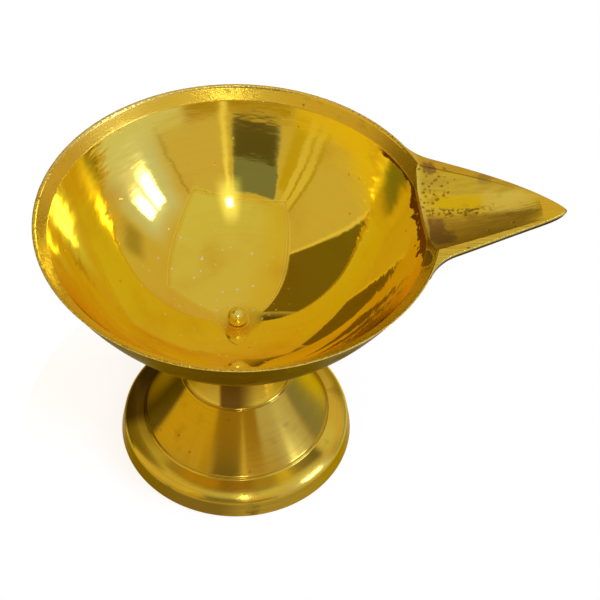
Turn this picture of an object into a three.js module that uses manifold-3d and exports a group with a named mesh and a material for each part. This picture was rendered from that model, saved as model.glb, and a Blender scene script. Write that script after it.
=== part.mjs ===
// Small brass oil lamp on a turned foot, in millimetres, +Z up.
// The bowl is one casting with its spout, turned inside on a lathe. The foot is a
// second casting, turned outside and hollow beneath. A round-headed rivet passes
// through both and is peened over inside the foot.
// The origin is on the surface that the lamp stands on, at the middle of its length
// and width. The turning axis of bowl and foot stands behind it, at X = axisX.

import * as THREE from 'three';
import { mergeVertices } from 'three/addons/utils/BufferGeometryUtils.js';
import Module from 'manifold-3d';

const wasm = await Module();
wasm.setup();

// Bowl
const RIM_RADIUS = 30; // outer edge of the rim
const RIM_LAND = 0.3; // worn flat on the very edge
const BEVEL_WIDTH = 1.8; // sloping band inside the rim
const BEVEL_DEPTH = 1.6;
const BOWL_DEPTH = 23.2; // rim plane to the floor inside
const WALL_ANGLE = 64; // degrees, steepness of the inner wall under the bevel
const WALL_SWEEP = 16.6; // how far the wall keeps that steepness
const FLOOR_ANGLE = 14.5; // degrees, rise of the floor away from the rivet head
const FLOOR_SWEEP = 9.3; // how far the floor keeps that rise
const BOWL_WALL = 1.1;
const BOSS_WALL = 2.3; // where the wall runs into the boss
const FLOOR_THICKNESS = 1.6; // under the rivet head, down to the seat on the foot
const SEAT_INSET = 0.4; // the bowl's boss is this much smaller than the neck's top

// Spout
const SPOUT_LENGTH = 18.95; // rim to tip
const SPOUT_HALF_WIDTH = 10.4; // at the rim, half of the width over both edges
const SPOUT_TAPER = 0.77; // 1 is a straight-sided point, less is a fuller one
const SPOUT_LEAN = 1.2; // the root sits this far to the +Y side of the tip
const LEAN_CURVE = 3.5; // 1 is a straight lean, more bends the tip alone
const ROOT_FILLET = 8.5; // radius where the spout's edges run into the rim
const KEEL_DEPTH = 5.4; // underside below the rim plane, at the rim
const KEEL_TIP_DEPTH = 2.3; // and near the tip
const KEEL_FILLET = 0.07; // how fast the keel curves down into the bowl's wall
const KEEL_ROUNDNESS = 1.25; // 1 is a half ellipse, 2 is a parabola
const EDGE_LAND = 2.1; // filed flat along each edge, at the root
const EDGE_LAND_TIP = 0.6; // the same flat where the trough ends
const TROUGH_DEPTH = 2.2; // at the sill between bowl and spout
const TROUGH_LENGTH = 15.2; // rim to the facet at the tip
const TROUGH_ROUNDNESS = 1.7; // 1 is a sharp V, 2 is a parabola
const TROUGH_ARRIS = 0.12; // share of the depth that drops straight off the land

// Foot, from the neck outwards and from the table upwards
const NECK_RADIUS = 8.5; // at its waist
const NECK_FLARE = 0.9; // added at the top, under the bowl
const NECK_STEP = 0.75; // ledge between the neck and the cone
const CONE_SPREAD = 6.25; // the cone widens by this much downwards
const CONE_HOLLOW = 0.35; // how far the cone's side curves in
const CONE_STEP = 0.3; // proud line at the cone's foot
const SHOULDER_WIDTH = 3.3;
const BASE_TAPER = 0.6; // the base ring widens by this much downwards
const BASE_HEIGHT = 3.9;
const SHOULDER_RISE = 0.95;
const CONE_RISE = 9.95;
const NECK_HEIGHT = 9.9;
const EDGE_ROUND = 0.6; // on the base ring's upper edge
const BASE_CHAMFER = 0.3; // on its lower edge
const RING_WIDTH = 2.3; // flat ring that the lamp stands on
const FOOT_WALL = 1.9; // of the cone and shoulder
const NECK_WALL = 2.3;
const WEB_THICKNESS = 2.6; // top of the neck, which the rivet holds

// Rivet
const SHANK_RADIUS = 1.1;
const RIVET_CLEARANCE = 0.06; // all round the shank
const HEAD_RADIUS = 1.6; // round bead on the bowl's floor
const HEAD_BASE_RADIUS = 1.35;
const HEAD_SEAT = 0.35; // width of the spot-faced flat round the bead
const TAIL_RADIUS = 1.9; // peened end inside the foot
const TAIL_HEIGHT = 0.9;

// Facets
const TURN_STEPS = 64;
const RIVET_STEPS = 32;
const WALL_STEPS = 16;
const SMALL_CURVE_STEPS = 4;
const SECTION_STEPS = 14;
const SPOUT_STATIONS = 18;

// Places that follow from the sizes
const waistZ = BASE_HEIGHT + SHOULDER_RISE + CONE_RISE;
const seatZ = waistZ + NECK_HEIGHT;
const floorZ = seatZ + FLOOR_THICKNESS;
const rimZ = floorZ + BOWL_DEPTH;
const tipReach = RIM_RADIUS + SPOUT_LENGTH;
const axisX = (RIM_RADIUS - tipReach) / 2;
const neckTopRadius = NECK_RADIUS + NECK_FLARE;
const boreRadius = SHANK_RADIUS + RIVET_CLEARANCE;

const castBrass = new THREE.MeshStandardMaterial({
  color: 0xc9a227,
  roughness: 0.25,
  metalness: 1,
});
const turnedBrass = new THREE.MeshStandardMaterial({
  color: 0xb8a03c,
  roughness: 0.38,
  metalness: 1,
});
const rivetBrass = new THREE.MeshStandardMaterial({
  color: 0xcfa83a,
  roughness: 0.2,
  metalness: 1,
});

// Merges equal corners and drops triangles that have shrunk to a line on the axis
function sealed(geometry) {
  geometry.deleteAttribute('normal');
  geometry.deleteAttribute('uv');
  const merged = mergeVertices(geometry, 1e-4);
  const corners = merged.index.array;
  const kept = [];
  for (let i = 0; i < corners.length; i += 3) {
    const [a, b, c] = corners.slice(i, i + 3);
    if (a !== b && b !== c && c !== a) kept.push(a, b, c);
  }
  merged.setIndex(kept);
  return merged;
}

// Turns a profile of radius and height about the Z axis
function turned(profile, sides = TURN_STEPS) {
  const geometry = new THREE.LatheGeometry(profile, sides);
  geometry.rotateX(Math.PI / 2);
  return sealed(geometry);
}

function toSolid(geometry) {
  return new wasm.Manifold(new wasm.Mesh({
    numProp: 3,
    vertProperties: new Float32Array(geometry.attributes.position.array),
    triVerts: new Uint32Array(geometry.index.array),
  }));
}

function toGeometry(solid) {
  const mesh = solid.getMesh();
  const geometry = new THREE.BufferGeometry();
  geometry.setAttribute('position', new THREE.BufferAttribute(mesh.vertProperties, 3));
  geometry.setIndex(new THREE.BufferAttribute(mesh.triVerts, 1));
  return geometry;
}

// Joins equal sections into one skin and closes both ends. Every section is convex
// and runs anticlockwise seen from the end that the sections advance towards.
function loft(sections) {
  const count = sections[0].length;
  const positions = sections.flat().flatMap((point) => point.toArray());
  const faces = [];
  for (let s = 0; s + 1 < sections.length; s += 1) {
    for (let i = 0; i < count; i += 1) {
      const here = s * count + i;
      const next = s * count + ((i + 1) % count);
      faces.push(here, next, next + count);
      faces.push(here, next + count, here + count);
    }
  }
  const last = (sections.length - 1) * count;
  for (let i = 1; i + 1 < count; i += 1) {
    faces.push(0, i + 1, i);
    faces.push(last, last + i, last + i + 1);
  }
  const geometry = new THREE.BufferGeometry();
  geometry.setAttribute('position', new THREE.Float32BufferAttribute(positions, 3));
  geometry.setIndex(faces);
  return geometry;
}

function steps(count) {
  return Array.from({ length: count + 1 }, (_, i) => i / count);
}

// Bowl profile

const creaseRadius = RIM_RADIUS - RIM_LAND - BEVEL_WIDTH;
const creaseZ = rimZ - BEVEL_DEPTH;
const spotRadius = HEAD_RADIUS + HEAD_SEAT;
const wallSlope = THREE.MathUtils.degToRad(WALL_ANGLE);
const floorSlope = THREE.MathUtils.degToRad(FLOOR_ANGLE);

// Inner wall, from the spot-faced flat in the middle up to the crease under the bevel
const innerWall = new THREE.CubicBezierCurve(
  new THREE.Vector2(spotRadius, floorZ),
  new THREE.Vector2(
    spotRadius + FLOOR_SWEEP * Math.cos(floorSlope),
    floorZ + FLOOR_SWEEP * Math.sin(floorSlope),
  ),
  new THREE.Vector2(
    creaseRadius - WALL_SWEEP * Math.cos(wallSlope),
    creaseZ - WALL_SWEEP * Math.sin(wallSlope),
  ),
  new THREE.Vector2(creaseRadius, creaseZ),
);

// Outer wall, the inner one set off by the wall's thickness, which grows towards the
// boss in the middle
function outerWallPoint(t) {
  const point = innerWall.getPoint(t);
  const along = innerWall.getTangent(t);
  const thickness = THREE.MathUtils.lerp(BOSS_WALL, BOWL_WALL, Math.min(1, 1.5 * t));
  return new THREE.Vector2(
    point.x + along.y * thickness,
    point.y - along.x * thickness,
  );
}

function bowlOutside() {
  const bossRadius = neckTopRadius - SEAT_INSET;
  const wall = steps(WALL_STEPS).map(outerWallPoint).filter((p) => p.x > bossRadius + 0.5);
  return turned([
    new THREE.Vector2(0, seatZ),
    new THREE.Vector2(bossRadius, seatZ),
    new THREE.Vector2(bossRadius, wall[0].y - 0.1),
    ...wall,
    new THREE.Vector2(RIM_RADIUS, rimZ),
    new THREE.Vector2(0, rimZ),
  ]);
}

// Everything that the lathe takes out of the bowl, with the rivet's bore below it.
// The bevel runs on past the rim, so the cut leaves the top cleanly.
function bowlInside() {
  const beyond = 1.5;
  return turned([
    new THREE.Vector2(0, seatZ - 1),
    new THREE.Vector2(boreRadius, seatZ - 1),
    new THREE.Vector2(boreRadius, floorZ),
    ...innerWall.getPoints(WALL_STEPS),
    new THREE.Vector2(creaseRadius + beyond * BEVEL_WIDTH, creaseZ + beyond * BEVEL_DEPTH),
    new THREE.Vector2(0, creaseZ + beyond * BEVEL_DEPTH),
  ]);
}

// Spout

// Share of the way from the rim to the tip, which keeps a little width at its end
function alongSpout(x) {
  const bluntTip = 0.998;
  return Math.min(bluntTip, (x - RIM_RADIUS) / SPOUT_LENGTH);
}

function spoutMiddle(x) {
  return SPOUT_LEAN * (1 - Math.max(0, alongSpout(x)) ** LEAN_CURVE);
}

function spoutHalfWidth(x) {
  return SPOUT_HALF_WIDTH * (1 - alongSpout(x)) ** SPOUT_TAPER;
}

// One edge of the spout seen from above, as a function of x. side is 1 for the edge
// towards +Y. Near the rim the edge follows an arc that touches both the rim's circle
// and the spout's side, and inside the rim it runs on level, within the bowl.
function spoutEdge(side) {
  const straightAt = (x) => side * spoutMiddle(x) + spoutHalfWidth(x);
  const slope = straightAt(RIM_RADIUS + 1) - straightAt(RIM_RADIUS);
  const start = straightAt(RIM_RADIUS) - slope * RIM_RADIUS;
  const lift = ROOT_FILLET * Math.hypot(1, slope);
  const reach = RIM_RADIUS + ROOT_FILLET;
  const a = 1 + slope * slope;
  const b = slope * (start + lift);
  const c = (start + lift) ** 2 - reach ** 2;
  const centreX = (-b + Math.sqrt(b * b - a * c)) / a;
  const centreY = start + lift + slope * centreX;
  const leavesRimX = centreX * RIM_RADIUS / reach;
  const leavesRimY = centreY * RIM_RADIUS / reach;
  const meetsSideX = centreX + ROOT_FILLET * slope / Math.hypot(1, slope);
  return {
    leavesRimX,
    at(x) {
      if (x >= meetsSideX) return straightAt(x);
      if (x >= leavesRimX) return centreY - Math.sqrt(ROOT_FILLET ** 2 - (x - centreX) ** 2);
      return leavesRimY;
    },
  };
}

const farEdge = spoutEdge(1);
const nearEdge = spoutEdge(-1);
const spoutStartX = Math.min(farEdge.leavesRimX, nearEdge.leavesRimX) - 3.5;

function keelDepth(x) {
  const share = alongSpout(x);
  const plain = THREE.MathUtils.lerp(KEEL_DEPTH, KEEL_TIP_DEPTH, share);
  if (share < 0) return plain + KEEL_FILLET * (RIM_RADIUS + 1 - x) ** 2;
  return plain * Math.sqrt(1 - share ** 12);
}

function spoutSection(x) {
  const far = farEdge.at(x);
  const near = nearEdge.at(x);
  const middle = (far - near) / 2;
  const half = (far + near) / 2;
  const depth = keelDepth(x);
  return steps(SECTION_STEPS).map((share) => {
    const turn = Math.PI * (share - 0.5);
    const drop = depth * Math.max(0, Math.cos(turn)) ** KEEL_ROUNDNESS;
    return new THREE.Vector3(x, middle + half * Math.sin(turn), rimZ - drop);
  });
}

// Stations crowd together towards the tip, where the outline turns fastest
function spoutBody() {
  const sections = steps(SPOUT_STATIONS).map((share) => {
    const eased = 1 - (1 - share) ** 1.8;
    return spoutSection(THREE.MathUtils.lerp(spoutStartX, tipReach, eased));
  });
  return loft(sections);
}

// The trough's floor rises along a curve and comes out at the facet behind the tip
function troughBody() {
  const sillX = creaseRadius;
  const endX = RIM_RADIUS + TROUGH_LENGTH;
  const overrun = 1.06;
  const above = 1.5;
  const sections = steps(SPOUT_STATIONS).map((share) => {
    const x = THREE.MathUtils.lerp(spoutStartX, sillX + overrun * (endX - sillX), share);
    const run = Math.max(0, (x - sillX) / (endX - sillX));
    const land = THREE.MathUtils.lerp(EDGE_LAND, EDGE_LAND_TIP, run);
    const half = Math.max(0.2, spoutHalfWidth(x) - land);
    const depth = TROUGH_DEPTH * (1 - run * run);
    const floor = steps(SECTION_STEPS).map((across) => {
      const side = 2 * across - 1;
      const drop = depth * (1 - (1 - TROUGH_ARRIS) * Math.abs(side) ** TROUGH_ROUNDNESS);
      return new THREE.Vector3(x, spoutMiddle(x) + half * side, rimZ - drop);
    });
    const roof = [half, -half].map(
      (y) => new THREE.Vector3(x, spoutMiddle(x) + y, rimZ + above),
    );
    return [...floor, ...roof];
  });
  return loft(sections);
}

function bowl() {
  const body = toSolid(bowlOutside()).add(toSolid(spoutBody()));
  const hollowed = body.subtract(toSolid(bowlInside())).subtract(toSolid(troughBody()));
  return toGeometry(hollowed);
}

// Foot

function foot() {
  const waistRadius = NECK_RADIUS + NECK_STEP;
  const coneRadius = waistRadius + CONE_SPREAD;
  const shoulderZ = BASE_HEIGHT + SHOULDER_RISE;
  const shoulderRadius = coneRadius + SHOULDER_WIDTH;
  const baseRadius = shoulderRadius + BASE_TAPER;

  const profile = new THREE.Path();
  profile.moveTo(baseRadius - BASE_CHAMFER, 0);
  profile.lineTo(baseRadius, BASE_CHAMFER);
  profile.lineTo(shoulderRadius + 0.2 * BASE_TAPER, BASE_HEIGHT - EDGE_ROUND);
  profile.quadraticCurveTo(
    shoulderRadius,
    BASE_HEIGHT,
    shoulderRadius - 1.4 * EDGE_ROUND,
    BASE_HEIGHT + 0.35 * EDGE_ROUND,
  );
  profile.lineTo(coneRadius, shoulderZ);
  profile.lineTo(coneRadius - 0.1, shoulderZ + CONE_STEP);
  profile.lineTo(coneRadius - 0.1 - CONE_STEP, shoulderZ + 1.3 * CONE_STEP);
  profile.quadraticCurveTo(
    (coneRadius + waistRadius) / 2 - 1.7 * CONE_HOLLOW,
    (shoulderZ + waistZ) / 2 - 1.1 * CONE_HOLLOW,
    waistRadius,
    waistZ - 0.3,
  );
  profile.lineTo(waistRadius - 0.1, waistZ);
  profile.lineTo(NECK_RADIUS + 0.35 * NECK_STEP, waistZ + 0.15);
  profile.bezierCurveTo(
    NECK_RADIUS,
    waistZ + 0.2 * NECK_HEIGHT,
    NECK_RADIUS,
    waistZ + 0.55 * NECK_HEIGHT,
    neckTopRadius,
    seatZ,
  );

  // Inside, from the rivet's bore in the web down through the hollow to the ring
  const hollowTopZ = seatZ - WEB_THICKNESS;
  const neckBore = NECK_RADIUS - NECK_WALL;
  const coneSlope = CONE_RISE / CONE_SPREAD;
  const wallAcross = FOOT_WALL * Math.hypot(1, coneSlope) / coneSlope;
  const neckBoreZ = waistZ + (waistRadius - wallAcross - neckBore) * coneSlope;
  const underShoulderZ = shoulderZ - FOOT_WALL;
  const underShoulderRadius = coneRadius - wallAcross + FOOT_WALL / coneSlope;
  const ringRadius = baseRadius - RING_WIDTH;
  profile.lineTo(boreRadius, seatZ);
  profile.lineTo(boreRadius, hollowTopZ);
  profile.lineTo(neckBore - 0.8, hollowTopZ);
  profile.quadraticCurveTo(neckBore, hollowTopZ, neckBore, hollowTopZ - 0.8);
  profile.lineTo(neckBore, neckBoreZ);
  profile.lineTo(underShoulderRadius, underShoulderZ);
  profile.quadraticCurveTo(
    ringRadius,
    underShoulderZ - 0.3,
    ringRadius,
    0.35 * underShoulderZ,
  );
  profile.lineTo(ringRadius, 0);
  profile.lineTo(baseRadius - BASE_CHAMFER, 0);
  return turned(profile.getPoints(SMALL_CURVE_STEPS));
}

// Rivet

function rivet() {
  const headCentreZ = floorZ + Math.sqrt(HEAD_RADIUS ** 2 - HEAD_BASE_RADIUS ** 2);
  const headStart = Math.atan2(floorZ - headCentreZ, HEAD_BASE_RADIUS);
  const tailTopZ = seatZ - WEB_THICKNESS;
  const profile = new THREE.Path();
  profile.moveTo(0, tailTopZ - TAIL_HEIGHT);
  profile.quadraticCurveTo(
    0.9 * TAIL_RADIUS,
    tailTopZ - TAIL_HEIGHT,
    TAIL_RADIUS,
    tailTopZ,
  );
  profile.lineTo(SHANK_RADIUS, tailTopZ);
  profile.lineTo(SHANK_RADIUS, floorZ);
  profile.lineTo(HEAD_BASE_RADIUS, floorZ);
  profile.absarc(0, headCentreZ, HEAD_RADIUS, headStart, Math.PI / 2, false);
  return turned(profile.getPoints(SMALL_CURVE_STEPS), RIVET_STEPS);
}

function named(name, geometry, material) {
  const mesh = new THREE.Mesh(geometry, material);
  mesh.name = name;
  return mesh;
}

const group = new THREE.Group();
group.position.x = axisX;
group.add(named('bowl', bowl(), castBrass));
group.add(named('foot', foot(), turnedBrass));
group.add(named('rivet', rivet(), rivetBrass));

export default group;
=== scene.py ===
"""Small brass oil lamp on a turned foot, in a plain studio.

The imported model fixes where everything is. The bowl with its spout, the foot and the
rivet are modelled again here with fine surfaces, and get their brass finishes.
Shapes are worked out in millimetres from the turning axis and stored in metres.
"""

from __future__ import annotations

import logging
import math
from collections.abc import Iterable, Mapping, Sequence
from dataclasses import dataclass, field, replace
from enum import Enum, IntEnum, auto
from functools import partial
from typing import Any

import bmesh
import bpy
import numpy as np
from mathutils import Matrix, Vector

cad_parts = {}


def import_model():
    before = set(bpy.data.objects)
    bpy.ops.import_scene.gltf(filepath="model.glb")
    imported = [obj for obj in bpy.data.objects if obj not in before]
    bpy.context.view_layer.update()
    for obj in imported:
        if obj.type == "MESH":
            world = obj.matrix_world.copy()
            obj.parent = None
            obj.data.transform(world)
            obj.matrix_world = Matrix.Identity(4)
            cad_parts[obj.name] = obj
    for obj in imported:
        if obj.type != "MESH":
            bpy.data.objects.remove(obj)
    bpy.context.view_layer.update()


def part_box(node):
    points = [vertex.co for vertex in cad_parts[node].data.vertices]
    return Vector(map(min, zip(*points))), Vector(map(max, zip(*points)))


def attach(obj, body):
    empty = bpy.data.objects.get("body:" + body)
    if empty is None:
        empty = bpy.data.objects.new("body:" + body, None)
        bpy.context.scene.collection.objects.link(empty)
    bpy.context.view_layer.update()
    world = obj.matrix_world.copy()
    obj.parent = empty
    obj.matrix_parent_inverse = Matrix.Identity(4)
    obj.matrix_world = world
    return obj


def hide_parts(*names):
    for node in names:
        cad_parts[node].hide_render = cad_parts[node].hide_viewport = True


log = logging.getLogger("oil_lamp")

MM = 0.001
WELD = 1e-4
TINY = 1e-6
DEGREE = math.pi / 180.0
TURN_AXIS = Vector((0.0, 0.0, 1.0))
ALONG = "along_the_edges"
BODY = "root"
WHITE = (1.0, 1.0, 1.0)
BRUSHED_ACROSS = 0.25
Point = tuple[float, float]
Colour = tuple[float, float, float]


def mix(low: float, high: float, share: float) -> float:
    """Returns the value that lies at a share of the way from low to high."""
    return low + (high - low) * share


def clamp(share: float) -> float:
    """Returns a share kept between 0 and 1."""
    return min(1.0, max(0.0, share))


def smooth_step(low: float, high: float, value: float) -> float:
    """Returns 0 below low and 1 above high, with a soft rise between them."""
    share = clamp((value - low) / (high - low))
    return share * share * (3.0 - 2.0 * share)


def smooth_min(first: float, second: float, blend: float) -> float:
    """Joins two heights with a fillet.

    Args:
        first: one height.
        second: the other height.
        blend: difference of height within which the fillet works.

    Returns:
        The lower height, a little less where the two are close.
    """
    if blend <= 0.0:
        return min(first, second)
    share = clamp(0.5 + 0.5 * (second - first) / blend)
    return mix(second, first, share) - blend * share * (1.0 - share)


def even(count: int) -> list[float]:
    """Returns equal shares from 0 to 1, both among them."""
    return [step / count for step in range(count + 1)]


def falling(count: int) -> list[float]:
    """Returns equal shares from 1 down, without 0."""
    return [1.0 - step / count for step in range(count)]


def stretch(start: float, length: float, count: int) -> list[float]:
    """Returns equal steps along a stretch, both of its ends among them."""
    return [start + length * share for share in even(count)]


def polar(radius: float, heading: float) -> Point:
    """Returns the place at a radius and a heading, seen from above."""
    return radius * math.cos(heading), radius * math.sin(heading)


def raised(turn: Vector, radius: float, height: float) -> Vector:
    """Returns the place at a radius in a direction, and at a height."""
    return turn * radius + Vector((0.0, 0.0, height))


def rounded(start: Vector, corner: Vector, end: Vector, share: float) -> Vector:
    """Returns a point of the small round that takes the place of a corner."""
    return start.lerp(corner, share).lerp(corner.lerp(end, share), share)


def bezier(points: Sequence[Point], count: int) -> list[Point]:
    """Samples a Bezier curve of any degree.

    Args:
        points: the start, the handles and the end.
        count: how many steps to take.

    Returns:
        The points along the curve, both ends among them.
    """
    found = []
    for share in even(count):
        level = [Vector(point) for point in points]
        while len(level) > 1:
            level = [a.lerp(b, share) for a, b in zip(level, level[1:])]
        found.append((level[0].x, level[0].y))
    return found


class Line:
    """A smooth plane curve that is looked up by the distance along it."""

    def __init__(self, points: Iterable[Point]) -> None:
        """Measures the curve.

        Args:
            points: closely spaced points of the curve, from its start to its end.
        """
        self.points = np.array(list(points), float)
        gaps = np.hypot(*np.diff(self.points, axis=0).T)
        self.distances = np.concatenate([[0.0], np.cumsum(gaps)])
        self.length = float(self.distances[-1])

    def at(self, distance: float) -> Point:
        """Returns the point at a distance from the start."""
        return tuple(float(np.interp(distance, self.distances, axis)) for axis in self.points.T)

    def nearest(self, point: Point) -> float:
        """Returns the distance along the curve of its closest point to another one."""
        gaps = np.hypot(*(self.points - np.array(point)).T)
        return float(self.distances[int(np.argmin(gaps))])


@dataclass(frozen=True)
class Datum:
    """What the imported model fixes, in millimetres, radii from the turning axis."""

    axis_x: float
    rim_radius: float
    rim_z: float
    tip_reach: float
    seat_z: float
    rivet_low: float
    rivet_high: float

    @classmethod
    def from_frame(cls) -> "Datum":
        """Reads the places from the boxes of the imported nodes.

        Returns:
            The places, in millimetres.
        """
        bowl_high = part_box("bowl")[1]
        foot_low, foot_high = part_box("foot")
        rivet_low, rivet_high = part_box("rivet")
        axis_x = (foot_low.x + foot_high.x) / 2
        return cls(
            axis_x=axis_x / MM,
            rim_radius=bowl_high.y / MM,
            rim_z=bowl_high.z / MM,
            tip_reach=(bowl_high.x - axis_x) / MM,
            seat_z=foot_high.z / MM,
            rivet_low=rivet_low.z / MM,
            rivet_high=rivet_high.z / MM,
        )


class Zone(Enum):
    """Stretches of the bowl's outline, from the rivet's bore over the rim and back."""

    BORE = auto()
    SPOT = auto()
    INSIDE = auto()
    CREASE = auto()
    BEVEL = auto()
    SILL = auto()
    TROUGH = auto()
    ARRIS = auto()
    LAND = auto()
    EDGE = auto()
    UNDERSIDE = auto()
    WALL = auto()
    BOSS = auto()


class BowlFinish(IntEnum):
    """The finishes on the bowl, in the order of its material slots."""

    POLISHED = 0
    SCRAPED = 1
    FILED = 2
    OUTSIDE = 3


# The finish of each zone, and where its rings lie as shares of the way along it.
# The rings crowd together beside every edge.
ZONES: dict[Zone, tuple[BowlFinish, list[float]]] = {
    Zone.BORE: (BowlFinish.POLISHED, [0.0, 0.5, 1.0]),
    Zone.SPOT: (BowlFinish.POLISHED, [0.5, 0.97]),
    Zone.INSIDE: (BowlFinish.POLISHED, [0.0, 0.004, *stretch(0.01, 0.98, 46), 0.996]),
    Zone.CREASE: (BowlFinish.SCRAPED, even(4)),
    Zone.BEVEL: (BowlFinish.SCRAPED, [0.08, *stretch(0.16, 0.68, 5), 0.92]),
    Zone.SILL: (BowlFinish.FILED, even(4)),
    Zone.TROUGH: (BowlFinish.FILED, [0.02, 0.05, *stretch(0.1, 0.8, 18), 0.95, 0.98]),
    Zone.ARRIS: (BowlFinish.FILED, even(4)),
    Zone.LAND: (BowlFinish.FILED, [0.06, 0.2, 0.5, 0.8, 0.94]),
    Zone.EDGE: (BowlFinish.FILED, even(4)),
    Zone.UNDERSIDE: (BowlFinish.OUTSIDE, [share**1.6 for share in even(36)][1:]),
    Zone.WALL: (BowlFinish.OUTSIDE, even(18)[1:]),
    Zone.BOSS: (BowlFinish.OUTSIDE, even(9)),
}


@dataclass(frozen=True)
class Spoke:
    """One line from the middle of the bowl out to its edge and back underneath.

    heading is its angle inside the bowl. crease and sill are distances along the
    inner profile. inner_edge and outer_edge are the two sides of the flat on top.
    """

    heading: float
    crease: float
    sill: float
    inner_edge: Vector
    outer_edge: Vector


class Outline:
    """The edge of the spout on one side, seen from above."""

    STEPS = 600

    def __init__(self, bowl: "Bowl", side: int) -> None:
        """Fits the root fillet between the rim's circle and the spout's side.

        Args:
            bowl: the bowl that the spout belongs to.
            side: 1 for the edge towards +Y, -1 for the other.
        """
        self.bowl = bowl
        self.side = side
        rim = bowl.datum.rim_radius
        fillet = bowl.root_fillet
        slope = self.straight(rim + 1.0) - self.straight(rim)
        start = self.straight(rim) - slope * rim
        lift = fillet * math.hypot(1.0, slope)
        reach = rim + fillet
        a = 1.0 + slope * slope
        b = slope * (start + lift)
        c = (start + lift) ** 2 - reach**2
        self.centre_x = (-b + math.sqrt(b * b - a * c)) / a
        self.centre_y = start + lift + slope * self.centre_x
        self.leaves_x = self.centre_x * rim / reach
        self.leaves_y = self.centre_y * rim / reach
        self.heading = math.atan2(self.leaves_y, self.leaves_x)
        self.meets_x = self.centre_x + fillet * slope / math.hypot(1.0, slope)
        shares = [1.0 - (1.0 - share) ** 2 for share in even(self.STEPS)]
        stations = [mix(self.leaves_x, bowl.datum.tip_reach, share) for share in shares]
        self.line = Line((x, self.side * self.at(x)) for x in stations)

    def straight(self, x: float) -> float:
        """Returns how far the spout's own side stands out, without the fillet."""
        return self.side * self.bowl.spout_middle(x) + self.bowl.spout_half_width(x)

    def at(self, x: float) -> float:
        """Finds the edge at a place along the spout.

        Args:
            x: how far from the turning axis.

        Returns:
            How far the edge stands out to its side.
        """
        if x >= self.meets_x:
            return self.straight(x)
        if x >= self.leaves_x:
            inside = self.bowl.root_fillet**2 - (x - self.centre_x) ** 2
            return self.centre_y - math.sqrt(inside)
        return self.leaves_y


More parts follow.
